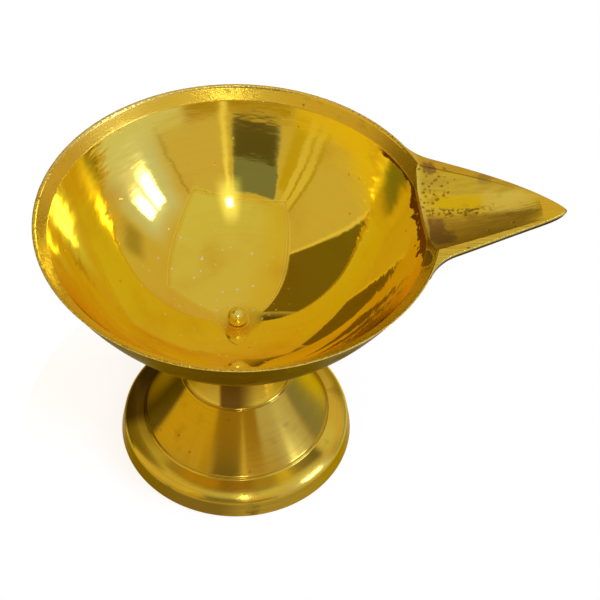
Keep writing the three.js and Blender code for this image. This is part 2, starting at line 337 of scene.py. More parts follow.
@dataclass
class Bowl:
    """The bowl with its spout, one casting, turned inside and filed along the spout."""

    datum: Datum
    rim_land: float = 0.3
    bevel_width: float = 1.8
    bevel_depth: float = 1.6
    bowl_depth: float = 23.2
    wall_angle: float = 64.0
    wall_sweep: float = 16.6
    floor_angle: float = 14.5
    floor_sweep: float = 9.3
    rim_wall: float = 1.1
    boss_wall: float = 2.3
    bore_radius: float = 1.16
    spot_radius: float = 1.95
    boss_radius: float = 9.0
    boss_fillet: float = 0.6
    boss_chamfer: float = 0.15
    spout_half: float = 10.4
    spout_taper: float = 0.77
    spout_lean: float = 1.2
    lean_curve: float = 3.5
    blunt_tip: float = 0.998
    root_fillet: float = 8.5
    keel_depth: float = 5.4
    keel_tip_depth: float = 2.3
    keel_fillet: float = 0.07
    keel_curve: float = 6.0
    keel_start: float = 18.0
    keel_roundness: float = 1.25
    edge_land: float = 2.1
    edge_land_tip: float = 0.6
    trough_depth: float = 2.2
    trough_length: float = 15.2
    trough_roundness: float = 1.7
    trough_arris: float = 0.12
    edge_round: float = 0.1
    under_round: float = 0.05
    sill_gap: float = 0.39
    crease_gap: float = 0.42
    root_spokes: int = 16
    side_spokes: int = 44
    tip_spokes: int = 8
    tip_share: float = 0.16
    plain_spokes: int = 150
    joint_radius: float = 21.0
    joint_fade: float = 3.5
    junction_blend: float = 4.0
    junction_share: float = 0.9
    round_in_trough: float = 0.45
    round_in_land: float = 0.3
    profile_steps: int = 600
    bevel_steps: int = 60
    wall_steps: int = 300
    edge_steps: int = 200
    corner_steps: int = 30
    search_steps: int = 40
    search_start: float = 0.85

    def __post_init__(self) -> None:
        """Works out the profile, both edges of the spout, the rings and the spokes."""
        self.flat_radius = self.datum.rim_radius - self.rim_land
        self.crease_radius = self.flat_radius - self.bevel_width
        self.crease_z = self.datum.rim_z - self.bevel_depth
        self.floor_z = self.datum.rim_z - self.bowl_depth
        self.wall_foot = self.boss_radius + self.boss_fillet
        self.trough_end = self.datum.rim_radius + self.trough_length
        self.inner = self._inner_profile()
        self.crease = self.inner.nearest((self.crease_radius, self.crease_z))
        self.plain_sill = self.inner.length - self.sill_gap
        self.outer_radii, self.outer_heights = self._outer_profile()
        self.far = Outline(self, 1)
        self.near = Outline(self, -1)
        self.rings = [(zone, share) for zone in Zone for share in ZONES[zone][1]]
        self.spokes = self._spokes()

    def _inner_profile(self) -> Line:
        """Draws the turned inside.

        Returns:
            The line from the spot face over floor and wall to the top of the bevel.
        """
        floor_run, floor_rise = polar(self.floor_sweep, math.radians(self.floor_angle))
        wall_run, wall_rise = polar(self.wall_sweep, math.radians(self.wall_angle))
        curve = bezier(
            [
                (self.spot_radius, self.floor_z),
                (self.spot_radius + floor_run, self.floor_z + floor_rise),
                (self.crease_radius - wall_run, self.crease_z - wall_rise),
                (self.crease_radius, self.crease_z),
            ],
            self.profile_steps,
        )
        bevel = [curve[-1], (self.flat_radius, self.datum.rim_z)]
        return Line(curve + bezier(bevel, self.bevel_steps)[1:])

    def _outer_profile(self) -> tuple[np.ndarray, np.ndarray]:
        """Works out the outside wall, which is thicker towards the boss.

        Returns:
            Its radii and its heights, from the boss to beyond the rim.
        """
        radii, heights = [], []
        gap, beyond, thinning = 0.02, 30.0, 1.5
        for share in even(self.wall_steps):
            distance = self.crease * share
            here = self.inner.at(distance - gap)
            ahead = self.inner.at(min(self.crease, distance + gap))
            run, rise = ahead[0] - here[0], ahead[1] - here[1]
            wall = mix(self.boss_wall, self.rim_wall, min(1.0, thinning * share))
            wall /= math.hypot(run, rise)
            point = self.inner.at(distance)
            radii.append(point[0] + rise * wall)
            heights.append(point[1] - run * wall)
        slope = (self.datum.rim_z - heights[-1]) / (self.datum.rim_radius - radii[-1])
        radii += [self.datum.rim_radius, self.datum.rim_radius + beyond]
        heights += [self.datum.rim_z, self.datum.rim_z + beyond * slope]
        return np.array(radii), np.array(heights)

    def along_spout(self, x: float) -> float:
        """Returns the share of the way from the rim to the tip, just under 1 at most."""
        rim = self.datum.rim_radius
        return min(self.blunt_tip, (x - rim) / (self.datum.tip_reach - rim))

    def spout_middle(self, x: float) -> float:
        """Returns the middle of the spout across, which leans to +Y at the root."""
        return self.spout_lean * (1.0 - max(0.0, self.along_spout(x)) ** self.lean_curve)

    def spout_half_width(self, x: float) -> float:
        """Returns half of the spout's own width."""
        return self.spout_half * (1.0 - self.along_spout(x)) ** self.spout_taper

    def outer_height(self, radius: float) -> float:
        """Returns the height of the bowl's outside wall at a radius."""
        return float(np.interp(radius, self.outer_radii, self.outer_heights))

    def keel_height(self, x: float, y: float) -> float:
        """Finds the spout's underside at a place seen from above.

        Args:
            x: along the spout.
            y: across it.

        Returns:
            Its height, which is that of the rim where there is no spout.
        """
        far, near = self.far.at(x), self.near.at(x)
        across = abs(y - (far - near) / 2) / max(TINY, (far + near) / 2)
        if across >= 1.0 or x < self.keel_start:
            return self.datum.rim_z
        share = self.along_spout(x)
        depth = mix(self.keel_depth, self.keel_tip_depth, share)
        if share < 0.0:
            inward = self.datum.rim_radius + 1.0 - x
            curved = min(inward, self.keel_curve)
            depth += self.keel_fillet * curved * (2.0 * inward - curved)
        else:
            depth *= math.sqrt(1.0 - share**12)
        return self.datum.rim_z - depth * (1.0 - across**2) ** (self.keel_roundness / 2)

    def underside_height(self, x: float, y: float) -> float:
        """Finds the outside of wall and keel at a place seen from above.

        Args:
            x: along the spout.
            y: across it.

        Returns:
            Its height, with a fillet where wall and keel meet.
        """
        radius = math.hypot(x, y)
        wall, keel = self.outer_height(radius), self.keel_height(x, y)
        room = self.datum.rim_z - min(wall, keel)
        fade = smooth_step(self.joint_radius, self.joint_radius + self.joint_fade, radius)
        blend = min(self.junction_blend, self.junction_share * room)
        return smooth_min(wall, keel, fade * blend)

    def trough_at(self, x: float) -> tuple[float, float]:
        """Measures the trough at a place along it.

        Args:
            x: how far from the turning axis.

        Returns:
            The share of the way along the trough, and half of its width there.
        """
        run = clamp((x - self.crease_radius) / (self.trough_end - self.crease_radius))
        return run, self.spout_half_width(x) - mix(self.edge_land, self.edge_land_tip, run)

    def trough_height(self, x: float, y: float) -> float:
        """Finds the trough's floor at a place seen from above.

        Args:
            x: along the spout.
            y: across it.

        Returns:
            Its height.
        """
        run, half = self.trough_at(x)
        across = min(1.0, abs(y - self.spout_middle(x)) / max(0.2, half))
        side = (1.0 - self.trough_arris) * across**self.trough_roundness
        return self.datum.rim_z - self.trough_depth * (1.0 - run * run) * (1.0 - side)

    def trough_edge(self, side: int, x: float) -> float:
        """Returns where the trough's upper edge lies across at a place along it."""
        return self.spout_middle(x) + side * self.trough_at(x)[1]

    def _sill_on(self, heading: float) -> float:
        """Finds where a spoke's inside meets the trough.

        Args:
            heading: the spoke's angle.

        Returns:
            The distance along the inner profile.
        """
        low, high = self.crease * self.search_start, self.inner.length
        for _ in range(self.search_steps):
            middle = (low + high) / 2
            radius, height = self.inner.at(middle)
            if height < self.trough_height(*polar(radius, heading)):
                low = middle
            else:
                high = middle
        return (low + high) / 2

    def _spoke(self, heading: float, sill: float, inner_edge: Point, outer_edge: Point) -> Spoke:
        """Makes a spoke, whose crease stays clear of its sill."""
        crease = min(self.crease, sill - self.crease_gap)
        return Spoke(heading, crease, sill, Vector(inner_edge), Vector(outer_edge))

    def _side_of_spout(self, outline: Outline) -> list[Spoke]:
        """Makes the spokes on one side of the spout.

        Args:
            outline: the spout's edge on that side.

        Returns:
            The spokes from the tip back to the rim.
        """
        side, line = outline.side, outline.line
        start_x = self.flat_radius
        for _ in range(self.corner_steps):
            start_x = math.sqrt(self.flat_radius**2 - self.trough_edge(side, start_x) ** 2)
        corner = (start_x, self.trough_edge(side, start_x))
        stations = [mix(start_x, self.trough_end, share) for share in even(self.edge_steps)]
        edge = Line((x, self.trough_edge(side, x)) for x in stations)
        end = edge.at(edge.length)
        middle = Vector((self.trough_end, self.spout_middle(self.trough_end)))
        corner_heading = math.atan2(corner[1], corner[0])
        middle_heading = math.asin(self.spout_lean / self.crease_radius)
        end_share = 1.0 - self.tip_share
        beside_corner, beside_end = line.nearest(corner), line.nearest(end)
        spokes = []
        for share in falling(self.tip_spokes):
            heading = mix(corner_heading, middle_heading, mix(end_share, 1.0, share))
            outer_edge = line.at(mix(beside_end, line.length, share))
            if share == 1.0:
                outer_edge = (self.datum.tip_reach, 0.0)
            inner_edge = Vector(end).lerp(middle, share)
            spokes.append(self._spoke(heading, self._sill_on(heading), inner_edge, outer_edge))
        for share in falling(self.side_spokes):
            heading = mix(corner_heading, middle_heading, end_share * share)
            inner_edge = edge.at(share * edge.length)
            outer_edge = line.at(mix(beside_corner, beside_end, share))
            spokes.append(self._spoke(heading, self._sill_on(heading), inner_edge, outer_edge))
        for share in falling(self.root_spokes):
            heading = mix(side * outline.heading, corner_heading, share)
            inner_edge = polar(self.flat_radius, heading)
            outer_edge = line.at(beside_corner * share)
            spokes.append(self._spoke(heading, self.plain_sill, inner_edge, outer_edge))
        return spokes

    def _spokes(self) -> list[Spoke]:
        """Lists the spokes all round.

        Returns:
            The spokes, anticlockwise from the tip of the spout.
        """
        spokes = self._side_of_spout(self.far)
        for share in even(self.plain_spokes):
            heading = mix(self.far.heading, 2.0 * math.pi - self.near.heading, share)
            turn = Vector(polar(1.0, heading))
            edges = (turn * self.flat_radius, turn * self.datum.rim_radius)
            spokes.append(self._spoke(heading, self.plain_sill, *edges))
        return spokes + list(reversed(self._side_of_spout(self.near)))[:-1]

    def _inside_point(self, spoke: Spoke, distance: float) -> Vector:
        """Returns the point at a distance along the inside, on a spoke."""
        radius, height = self.inner.at(distance)
        return Vector((*polar(radius, spoke.heading), height))

    def _trough_point(self, spoke: Spoke, share: float) -> Vector:
        """Finds a point of the trough, or of the bevel where there is no trough.

        Args:
            spoke: the spoke that it lies on.
            share: how far it is from the sill to the flat on top.

        Returns:
            The point.
        """
        x, y = self._inside_point(spoke, spoke.sill).xy.lerp(spoke.inner_edge, share)
        inward = self.flat_radius - math.hypot(x, y)
        if spoke.sill >= self.plain_sill and inward > -TINY:
            return Vector((x, y, self.datum.rim_z - inward * (self.bevel_depth / self.bevel_width)))
        return Vector((x, y, min(self.datum.rim_z, self.trough_height(x, y))))

    def _under_point(self, spoke: Spoke, share: float) -> Vector:
        """Returns a point of the outside, from the edge in to the plain wall."""
        x, y = spoke.outer_edge.lerp(Vector(polar(1.0, spoke.heading)) * self.joint_radius, share)
        return Vector((x, y, self.underside_height(x, y)))

    def _top_point(self, spoke: Spoke, share: float) -> Vector:
        """Returns a point of the flat on top, between its inner and outer edge."""
        x, y = spoke.inner_edge.lerp(spoke.outer_edge, share)
        return Vector((x, y, self.datum.rim_z))

    def place(self, spoke: Spoke, zone: Zone, share: float) -> Vector:
        """Finds where a ring crosses a spoke.

        Args:
            spoke: the spoke.
            zone: the stretch of the outline that the ring belongs to.
            share: how far along that stretch the ring lies.

        Returns:
            The point, in millimetres from the turning axis.
        """
        inside = partial(self._inside_point, spoke)
        trough = partial(self._trough_point, spoke)
        top = partial(self._top_point, spoke)
        under = partial(self._under_point, spoke)
        edge, crease, sill = self.edge_round, spoke.crease, spoke.sill
        turn = Vector((*polar(1.0, spoke.heading), 0.0))
        trough_run = (spoke.inner_edge - inside(sill).xy).length
        land_run = (spoke.outer_edge - spoke.inner_edge).length
        in_trough = min(self.round_in_trough, edge / max(TINY, trough_run))
        in_land = min(self.round_in_land, edge / max(TINY, land_run))
        in_under = self.under_round / (spoke.outer_edge - turn.xy * self.joint_radius).length
        match zone:
            case Zone.BORE:
                return raised(turn, self.bore_radius, mix(self.datum.seat_z, self.floor_z, share))
            case Zone.SPOT:
                return raised(turn, mix(self.bore_radius, self.spot_radius, share), self.floor_z)
            case Zone.INSIDE:
                return inside(share * (crease - edge))
            case Zone.CREASE:
                return rounded(inside(crease - edge), inside(crease), inside(crease + edge), share)
            case Zone.BEVEL:
                return inside(mix(crease + edge, sill - edge, share))
            case Zone.SILL:
                return rounded(inside(sill - edge), inside(sill), trough(in_trough), share)
            case Zone.TROUGH:
                return trough(mix(in_trough, 1.0 - in_trough, share))
            case Zone.ARRIS:
                return rounded(trough(1.0 - in_trough), top(0.0), top(in_land), share)
            case Zone.LAND:
                return top(mix(in_land, 1.0 - in_land, share))
            case Zone.EDGE:
                return rounded(top(1.0 - in_land), top(1.0), under(in_under), share)
            case Zone.UNDERSIDE:
                return under(mix(in_under, 1.0, share))
            case Zone.WALL:
                radius = mix(self.joint_radius, self.wall_foot, share)
                return raised(turn, radius, self.outer_height(radius))
            case _:
                return self._boss_point(turn, share)

    def _boss_point(self, turn: Vector, share: float) -> Vector:
        """Finds a point of the boss, which has a fillet above and a chamfer below.

        Args:
            turn: the direction in which it lies.
            share: how far it is from the foot of the wall in to the bore.

        Returns:
            The point.
        """
        boss, chamfer, seat = self.boss_radius, self.boss_chamfer, self.datum.seat_z
        wall = self.outer_height(self.wall_foot)
        points = [
            (self.wall_foot - 0.15, wall - 0.05),
            (boss + 0.18, wall - 0.18),
            (boss + 0.03, wall - 0.38),
            (boss, wall - self.boss_fillet),
            (boss, seat + chamfer + 0.05),
            (boss, seat + chamfer),
            (boss - chamfer, seat),
            (boss - chamfer - 0.1, seat),
            (boss / 2, seat),
            (self.bore_radius + 0.1, seat),
        ]
        return raised(turn, *points[round(share * (len(points) - 1))])

    def mesh(self) -> bmesh.types.BMesh:
        """Wraps a flat grid round the rings and spokes and welds both of its seams.

        Returns:
            The mesh in millimetres from the turning axis. Every face has the finish
            of its zone, and its first UV map runs round the bowl and along the profile.
        """
        made = bmesh.new()
        layer = made.loops.layers.uv.new(ALONG)
        across, around = len(self.rings), len(self.spokes)
        bmesh.ops.create_grid(made, x_segments=across, y_segments=around, size=1.0, calc_uvs=True)
        for face in made.faces:
            for loop in face.loops:
                along, turn = loop[layer].uv
                loop[layer].uv = (turn, along)
        for vert in made.verts:
            ring = self.rings[round((vert.co.x + 1.0) / 2.0 * across) % across]
            spoke = self.spokes[round((vert.co.y + 1.0) / 2.0 * around) % around]
            vert.co = self.place(spoke, *ring)
        for face in made.faces:
            along = min(loop[layer].uv.y for loop in face.loops)
            zone = self.rings[round(along * across) % across][0]
            face.material_index = ZONES[zone][0]
            face.smooth = True
        bmesh.ops.remove_doubles(made, verts=made.verts, dist=WELD)
        bmesh.ops.recalc_face_normals(made, faces=made.faces)
        return made

    def build(self) -> bpy.types.Object:
        """Makes the bowl's object with its four finishes."""
        finishes = [BOWL_POLISH, RIM_SCRAPE, SPOUT_FILING, BOWL_OUTSIDE]
        return make_piece("brass_bowl", self.mesh(), self.datum, finishes)


def add_object(name: str, data: bpy.types.ID) -> bpy.types.Object:
    """Makes an object of a mesh or a camera, and puts it into the scene.

    Args:
        name: the object's name.
        data: its mesh or camera.

    Returns:
        The new object, at the origin.
    """
    made = bpy.data.objects.new(name, data)
    bpy.context.scene.collection.objects.link(made)
    return made


def make_piece(
    name: str, made: bmesh.types.BMesh, datum: Datum, finishes: Sequence["BrassFinish"]
) -> bpy.types.Object:
    """Stores a mesh as an object at the origin, with its place in its mesh.

    Args:
        name: the object's name.
        made: the mesh in millimetres from the turning axis. It is freed here.
        datum: gives where the turning axis stands.
        finishes: one for each material slot.

    Returns:
        The new object, in metres. Its texture space is centred on the turning axis,
        so that brushed highlights run round that axis.
    """
    bmesh.ops.translate(made, verts=made.verts, vec=(datum.axis_x, 0.0, 0.0))
    bmesh.ops.scale(made, verts=made.verts, vec=(MM, MM, MM))
    mesh = bpy.data.meshes.new(name)
    made.to_mesh(mesh)
    made.free()
    mesh.use_auto_texspace = False
    mesh.texspace_location = (datum.axis_x * MM, 0.0, datum.rim_z / 2 * MM)
    mesh.texspace_size = (datum.tip_reach * MM,) * 3
    for finish in finishes:
        mesh.materials.append(finish.material(datum))
    return add_object(name, mesh)


@dataclass
class Profile:
    """The outline of a turned piece, as radii and heights in millimetres."""

    points: list[Point] = field(default_factory=list)
    rounds: list[float] = field(default_factory=list)

    def to(self, radius: float, height: float, rounding: float = 0.0) -> None:
        """Goes straight to a corner, which may get a small round."""
        self.points.append((radius, height))
        self.rounds.append(rounding)

    def curve(self, *handles: Point, steps: int = 24) -> None:
        """Goes along a Bezier curve whose last handle is its end."""
        for point in bezier([self.points[-1], *handles], steps)[1:]:
            self.to(*point)

    def finished(self, closed: bool) -> list[Point]:
        """Rounds the corners.

        Args:
            closed: true where the outline comes back to its start.

        Returns:
            The points of the outline.
        """
        found = []
        count = len(self.points)
        most_of_leg, steps = 0.45, 4
        for index, (point, rounding) in enumerate(zip(self.points, self.rounds)):
            if rounding == 0.0:
                found.append(point)
                continue
            corner = Vector(point)
            ends = []
            for neighbour in (index - 1, (index + 1) % count):
                leg = Vector(self.points[neighbour]) - corner
                ends.append(corner + leg.normalized() * min(rounding, most_of_leg * leg.length))
            found.extend(bezier([tuple(ends[0]), point, tuple(ends[1])], steps))
        return found + found[:1] if closed else found


def spin_profile(profile: Sequence[Point], steps: int) -> bmesh.types.BMesh:
    """Turns an outline round the axis and closes its seam and poles.

    Args:
        profile: radii and heights. It is closed, or both ends lie on the axis.
        steps: how many faces go round.

    Returns:
        The mesh in millimetres from the turning axis, smooth, facing outwards.
    """
    made = bmesh.new()
    verts = [made.verts.new((radius, 0.0, height)) for radius, height in profile]
    edges = [made.edges.new(pair) for pair in zip(verts, verts[1:])]
    bmesh.ops.spin(
        made,
        geom=[*verts, *edges],
        cent=(0.0, 0.0, 0.0),
        axis=TURN_AXIS,
        angle=2.0 * math.pi,
        steps=steps,
        use_merge=True,
    )
    bmesh.ops.remove_doubles(made, verts=made.verts, dist=WELD)
    bmesh.ops.recalc_face_normals(made, faces=made.faces)
    for face in made.faces:
        face.smooth = True
    return made


@dataclass
class Foot:
    """The turned foot: base ring, shoulder, cone and neck in one hollow casting."""

    datum: Datum
    neck_radius: float = 8.5
    neck_flare: float = 0.9
    neck_step: float = 0.75
    cone_spread: float = 6.25
    cone_hollow: float = 0.35
    cone_step: float = 0.3
    shoulder_width: float = 3.3
    base_taper: float = 0.6
    base_height: float = 3.9
    shoulder_rise: float = 0.95
    cone_rise: float = 9.95
    neck_height: float = 9.9
    edge_round: float = 1.15
    base_chamfer: float = 0.3
    ring_width: float = 2.3
    foot_wall: float = 1.9
    neck_wall: float = 2.3
    web: float = 2.6
    bore_radius: float = 1.16
    corner: float = 0.12
    draft: float = 0.1
    inner_round: float = 0.8
    steps: int = 224

    def __post_init__(self) -> None:
        """Works out the radii and heights where the outline turns."""
        self.waist = self.neck_radius + self.neck_step
        self.cone = self.waist + self.cone_spread
        self.shoulder = self.cone + self.shoulder_width
        self.base = self.shoulder + self.base_taper
        self.shoulder_z = self.base_height + self.shoulder_rise
        self.waist_z = self.shoulder_z + self.cone_rise
        self.seat_z = self.waist_z + self.neck_height

    def _outside(self, profile: Profile) -> None:
        """Adds the turned outside, from the base ring up to the seat.

        Args:
            profile: the outline, still empty.
        """
        hollow, step, edge = self.cone_hollow, self.cone_step, self.edge_round
        neck, waist, cone = self.neck_radius, self.waist, self.cone
        profile.to(self.base - self.base_chamfer, 0.0, self.corner)
        profile.to(self.base, self.base_chamfer, self.corner)
        profile.to(self.shoulder + 0.2 * self.base_taper, self.base_height - edge)
        shoulder_end = (self.shoulder - 1.8 * edge, self.base_height + 0.56 * edge)
        profile.curve((self.shoulder, self.base_height), shoulder_end, steps=16)
        profile.to(cone, self.shoulder_z, self.corner)
        profile.to(cone - self.draft, self.shoulder_z + step, self.corner)
        profile.to(cone - self.draft - step, self.shoulder_z + 1.3 * step)
        middle_z = (self.shoulder_z + self.waist_z) / 2
        handle = ((cone + waist) / 2 - 1.7 * hollow, middle_z - 1.1 * hollow)
        profile.curve(handle, (waist, self.waist_z - 0.3), steps=44)
        profile.to(waist - self.draft, self.waist_z, self.corner)
        profile.to(neck + 0.35 * self.neck_step, self.waist_z + 0.15)
        profile.curve(
            (neck, self.waist_z + 0.2 * self.neck_height),
            (neck, self.waist_z + 0.55 * self.neck_height),
            (neck + self.neck_flare, self.seat_z),
            steps=30,
        )

    def _hollow(self, profile: Profile) -> None:
        """Adds the inside, from the rivet's bore down to the base ring.

        Args:
            profile: the outline, which has come up to the seat.
        """
        top_z = self.seat_z - self.web
        neck_bore = self.neck_radius - self.neck_wall
        slope = self.cone_rise / self.cone_spread
        across = self.foot_wall * math.hypot(1.0, slope) / slope
        neck_bore_z = self.waist_z + (self.waist - across - neck_bore) * slope
        under_z = self.shoulder_z - self.foot_wall
        ring = self.base - self.ring_width
        profile.to(self.bore_radius, self.seat_z, self.corner)
        profile.to(self.bore_radius, top_z, self.corner)
        profile.to(neck_bore - self.inner_round, top_z)
        profile.curve((neck_bore, top_z), (neck_bore, top_z - self.inner_round), steps=8)
        profile.to(neck_bore, neck_bore_z, 0.5)
        profile.to(self.cone - across + self.foot_wall / slope, under_z)
        profile.curve((ring, under_z - 0.3), (ring, 0.35 * under_z), steps=12)
        profile.to(ring, 0.0, self.corner)

    def mesh(self) -> bmesh.types.BMesh:
        """Turns the outline, and gives the faces of the hollow the second finish.

        Returns:
            The mesh in millimetres from the turning axis.
        """
        profile = Profile()
        self._outside(profile)
        self._hollow(profile)
        made = spin_profile(profile.finished(closed=True), self.steps)
        inward, downward = -0.1, -0.9
        for face in made.faces:
            middle = face.calc_center_median()
            outward = face.normal.x * middle.x + face.normal.y * middle.y
            if outward < inward * math.hypot(middle.x, middle.y) or face.normal.z < downward:
                face.material_index = 1
        return made

    def build(self) -> bpy.types.Object:
        """Makes the foot's object with its two finishes."""
        return make_piece("brass_foot", self.mesh(), self.datum, [FOOT_TURNING, RAW_CASTING])


@dataclass
class Rivet:
    """The rivet that holds bowl and foot together: ball head, shank and peened end."""

    datum: Datum
    shank_radius: float = 1.1
    head_radius: float = 1.6
    head_base_radius: float = 1.35
    head_steps: int = 26
    tail_radius: float = 1.9
    tail_height: float = 0.9
    corner: float = 0.08
    steps: int = 96

    def mesh(self) -> bmesh.types.BMesh:
        """Turns the outline, and gives all below the bowl's floor the second finish.

        Returns:
            The mesh in millimetres from the turning axis.
        """
        sunk = math.sqrt(self.head_radius**2 - self.head_base_radius**2)
        head_middle = self.datum.rivet_high - self.head_radius
        floor_z = head_middle - sunk
        low, tail_top = self.datum.rivet_low, self.datum.rivet_low + self.tail_height
        profile = Profile()
        profile.to(0.0, low)
        profile.curve((0.9 * self.tail_radius, low), (self.tail_radius, tail_top), steps=16)
        profile.to(self.shank_radius, tail_top, self.corner)
        profile.to(self.shank_radius, floor_z, self.corner)
        start = math.asin((floor_z - head_middle) / self.head_radius)
        for share in even(self.head_steps):
            radius, height = polar(self.head_radius, mix(start, math.pi / 2, share))
            profile.to(max(0.0, radius), head_middle + height)
        made = spin_profile(profile.finished(closed=False), self.steps)
        just_above = 0.02
        for face in made.faces:
            if face.calc_center_median().z < floor_z + just_above:
                face.material_index = 1
        return made

    def build(self) -> bpy.types.Object:
        """Makes the rivet's object with its two finishes."""
        return make_piece("brass_rivet", self.mesh(), self.datum, [BEAD_POLISH, RAW_CASTING])


Feed = "float | Signal | bpy.types.NodeSocket | Sequence[float]"


class Signal:
    """A shader value that takes part in ordinary arithmetic."""

    def __init__(self, recipe: "Recipe", socket: bpy.types.NodeSocket) -> None:
        """Wraps an output socket of a recipe's tree."""
        self.recipe = recipe
        self.socket = socket

    def __add__(self, other: Feed) -> "Signal":
        """Returns the sum."""
        return self.recipe.math("ADD", self, other)

    def __mul__(self, other: Feed) -> "Signal":
        """Returns the product."""
        return self.recipe.math("MULTIPLY", self, other)

    def __sub__(self, other: Feed) -> "Signal":
        """Returns the difference."""
        return self.recipe.math("SUBTRACT", self, other)

    def __rsub__(self, other: Feed) -> "Signal":
        """Returns the difference from a number."""
        return self.recipe.math("SUBTRACT", other, self)

    def __truediv__(self, other: Feed) -> "Signal":
        """Returns the quotient."""
        return self.recipe.math("DIVIDE", self, other)

    def __rtruediv__(self, other: Feed) -> "Signal":
        """Returns a number divided by this value."""
        return self.recipe.math("DIVIDE", other, self)

    def __abs__(self) -> "Signal":
        """Returns the size without its sign."""
        return self.recipe.math("ABSOLUTE", self)

    __radd__ = __add__
    __rmul__ = __mul__

    def rise(self, low: float, high: float) -> "Signal":
        """Makes a mask that rises softly.

        Args:
            low: the value up to which it is 0.
            high: the value from which it is 1.

        Returns:
            The mask.
        """
        feeds = {"Value": self, "From Min": low, "From Max": high}
        smooth = {"interpolation_type": "SMOOTHSTEP"}
        return self.recipe.signal("ShaderNodeMapRange", "Result", feeds, smooth)

    def fall(self, low: float, high: float) -> "Signal":
        """Returns a mask that falls softly from 1 at low to 0 at high."""
        return 1.0 - self.rise(low, high)

    def between(self, low: float, high: float, soft: float) -> "Signal":
        """Returns a mask that is 1 from low to high, with soft ends."""
        return self.rise(low - soft, low + soft) * self.fall(high - soft, high + soft)


class Recipe:
    """The nodes of one material or of the world, written as expressions."""

    def __init__(self, block: bpy.types.Material | bpy.types.World) -> None:
        """Clears the node tree that is written here.

        Args:
            block: the material or the world that the tree belongs to.
        """
        block.use_nodes = True
        self.tree = block.node_tree
        self.tree.nodes.clear()

    def node(
        self,
        kind: str,
        feeds: Mapping[str, Feed] | None = None,
        settings: Mapping[str, Any] | None = None,
    ) -> bpy.types.Node:
        """Adds a node.

        Args:
            kind: the node's type.
            feeds: the values or links of its sockets, by the socket's identifier.
            settings: its own settings, which are set first.

        Returns:
            The new node.
        """
        node = self.tree.nodes.new(kind)
        for name, value in (settings or {}).items():
            setattr(node, name, value)
        sockets = {socket.identifier: socket for socket in node.inputs}
        for name, value in (feeds or {}).items():
            socket = sockets[name]
            if isinstance(value, Signal):
                value = value.socket
            if isinstance(value, bpy.types.NodeSocket):
                self.tree.links.new(value, socket)
            elif socket.type == "RGBA":
                socket.default_value = (*value, 1.0)
            else:
                socket.default_value = value
        return node

    def signal(self, kind: str, output: str, *details: Mapping[str, Any]) -> Signal:
        """Adds a node and returns one of its outputs, ready for arithmetic."""
        return Signal(self, self.node(kind, *details).outputs[output])

    def math(self, operation: str, *values: Feed) -> Signal:
        """Returns a Math node's result."""
        feeds = dict(zip(("Value", "Value_001", "Value_002"), values))
        return self.signal("ShaderNodeMath", "Value", feeds, {"operation": operation})

    def gap(self, across: Signal, along: Signal) -> Signal:
        """Returns the distance that two perpendicular steps make up."""
        return self.math("SQRT", across * across + along * along)

    def axes(self, vector: bpy.types.NodeSocket) -> tuple[Signal, Signal, Signal]:
        """Returns the three components of a vector."""
        node = self.node("ShaderNodeSeparateXYZ", {"Vector": vector})
        return tuple(Signal(self, node.outputs[axis]) for axis in "XYZ")

    def vector(self, x: Feed, y: Feed, z: Feed) -> bpy.types.NodeSocket:
        """Returns a vector made from three components."""
        return self.node("ShaderNodeCombineXYZ", {"X": x, "Y": y, "Z": z}).outputs["Vector"]

    def noise(self, vector: bpy.types.NodeSocket, scale: float, detail: float) -> Signal:
        """Returns a noise from 0 to 1, with a number of blobs to a unit."""
        feeds = {"Vector": vector, "Scale": scale, "Detail": detail}
        return self.signal("ShaderNodeTexNoise", "Fac", feeds)

    def blend(self, first: Feed, second: Feed, share: Feed) -> bpy.types.NodeSocket:
        """Mixes two colours.

        Args:
            first: the colour at a share of 0.
            second: the colour at a share of 1.
            share: how much of the second one shows.

        Returns:
            The mixed colour.
        """
        feeds = {"Factor_Float": share, "A_Color": first, "B_Color": second}
        node = self.node("ShaderNodeMix", feeds, {"data_type": "RGBA"})
        return next(socket for socket in node.outputs if socket.identifier == "Result_Color")

    def layers(self, colour: Feed, *coats: tuple[Feed, Feed]) -> Feed:
        """Lays coats of colour over each other.

        Args:
            colour: the colour below.
            coats: the colour of each coat and its share, from below.

        Returns:
            The colour seen from above.
        """
        for coat, share in coats:
            colour = self.blend(colour, coat, share)
        return colour

    def seen_by(self, *rays: str) -> Signal:
        """Tells kinds of ray apart.

        Args:
            rays: the kinds, by the names that the Light Path node gives them.

        Returns:
            1 for these kinds of ray, and 0 for all others.
        """
        path = self.node("ShaderNodeLightPath")
        first, *others = (Signal(self, path.outputs[ray]) for ray in rays)
        return sum(others, first)


class Marks(Enum):
    """Which way the marks of the tool run."""

    ROUND_THE_AXIS = auto()
    ALONG_THE_EDGES = auto()
    ALONG_THE_SPOUT = auto()
    CAST = auto()


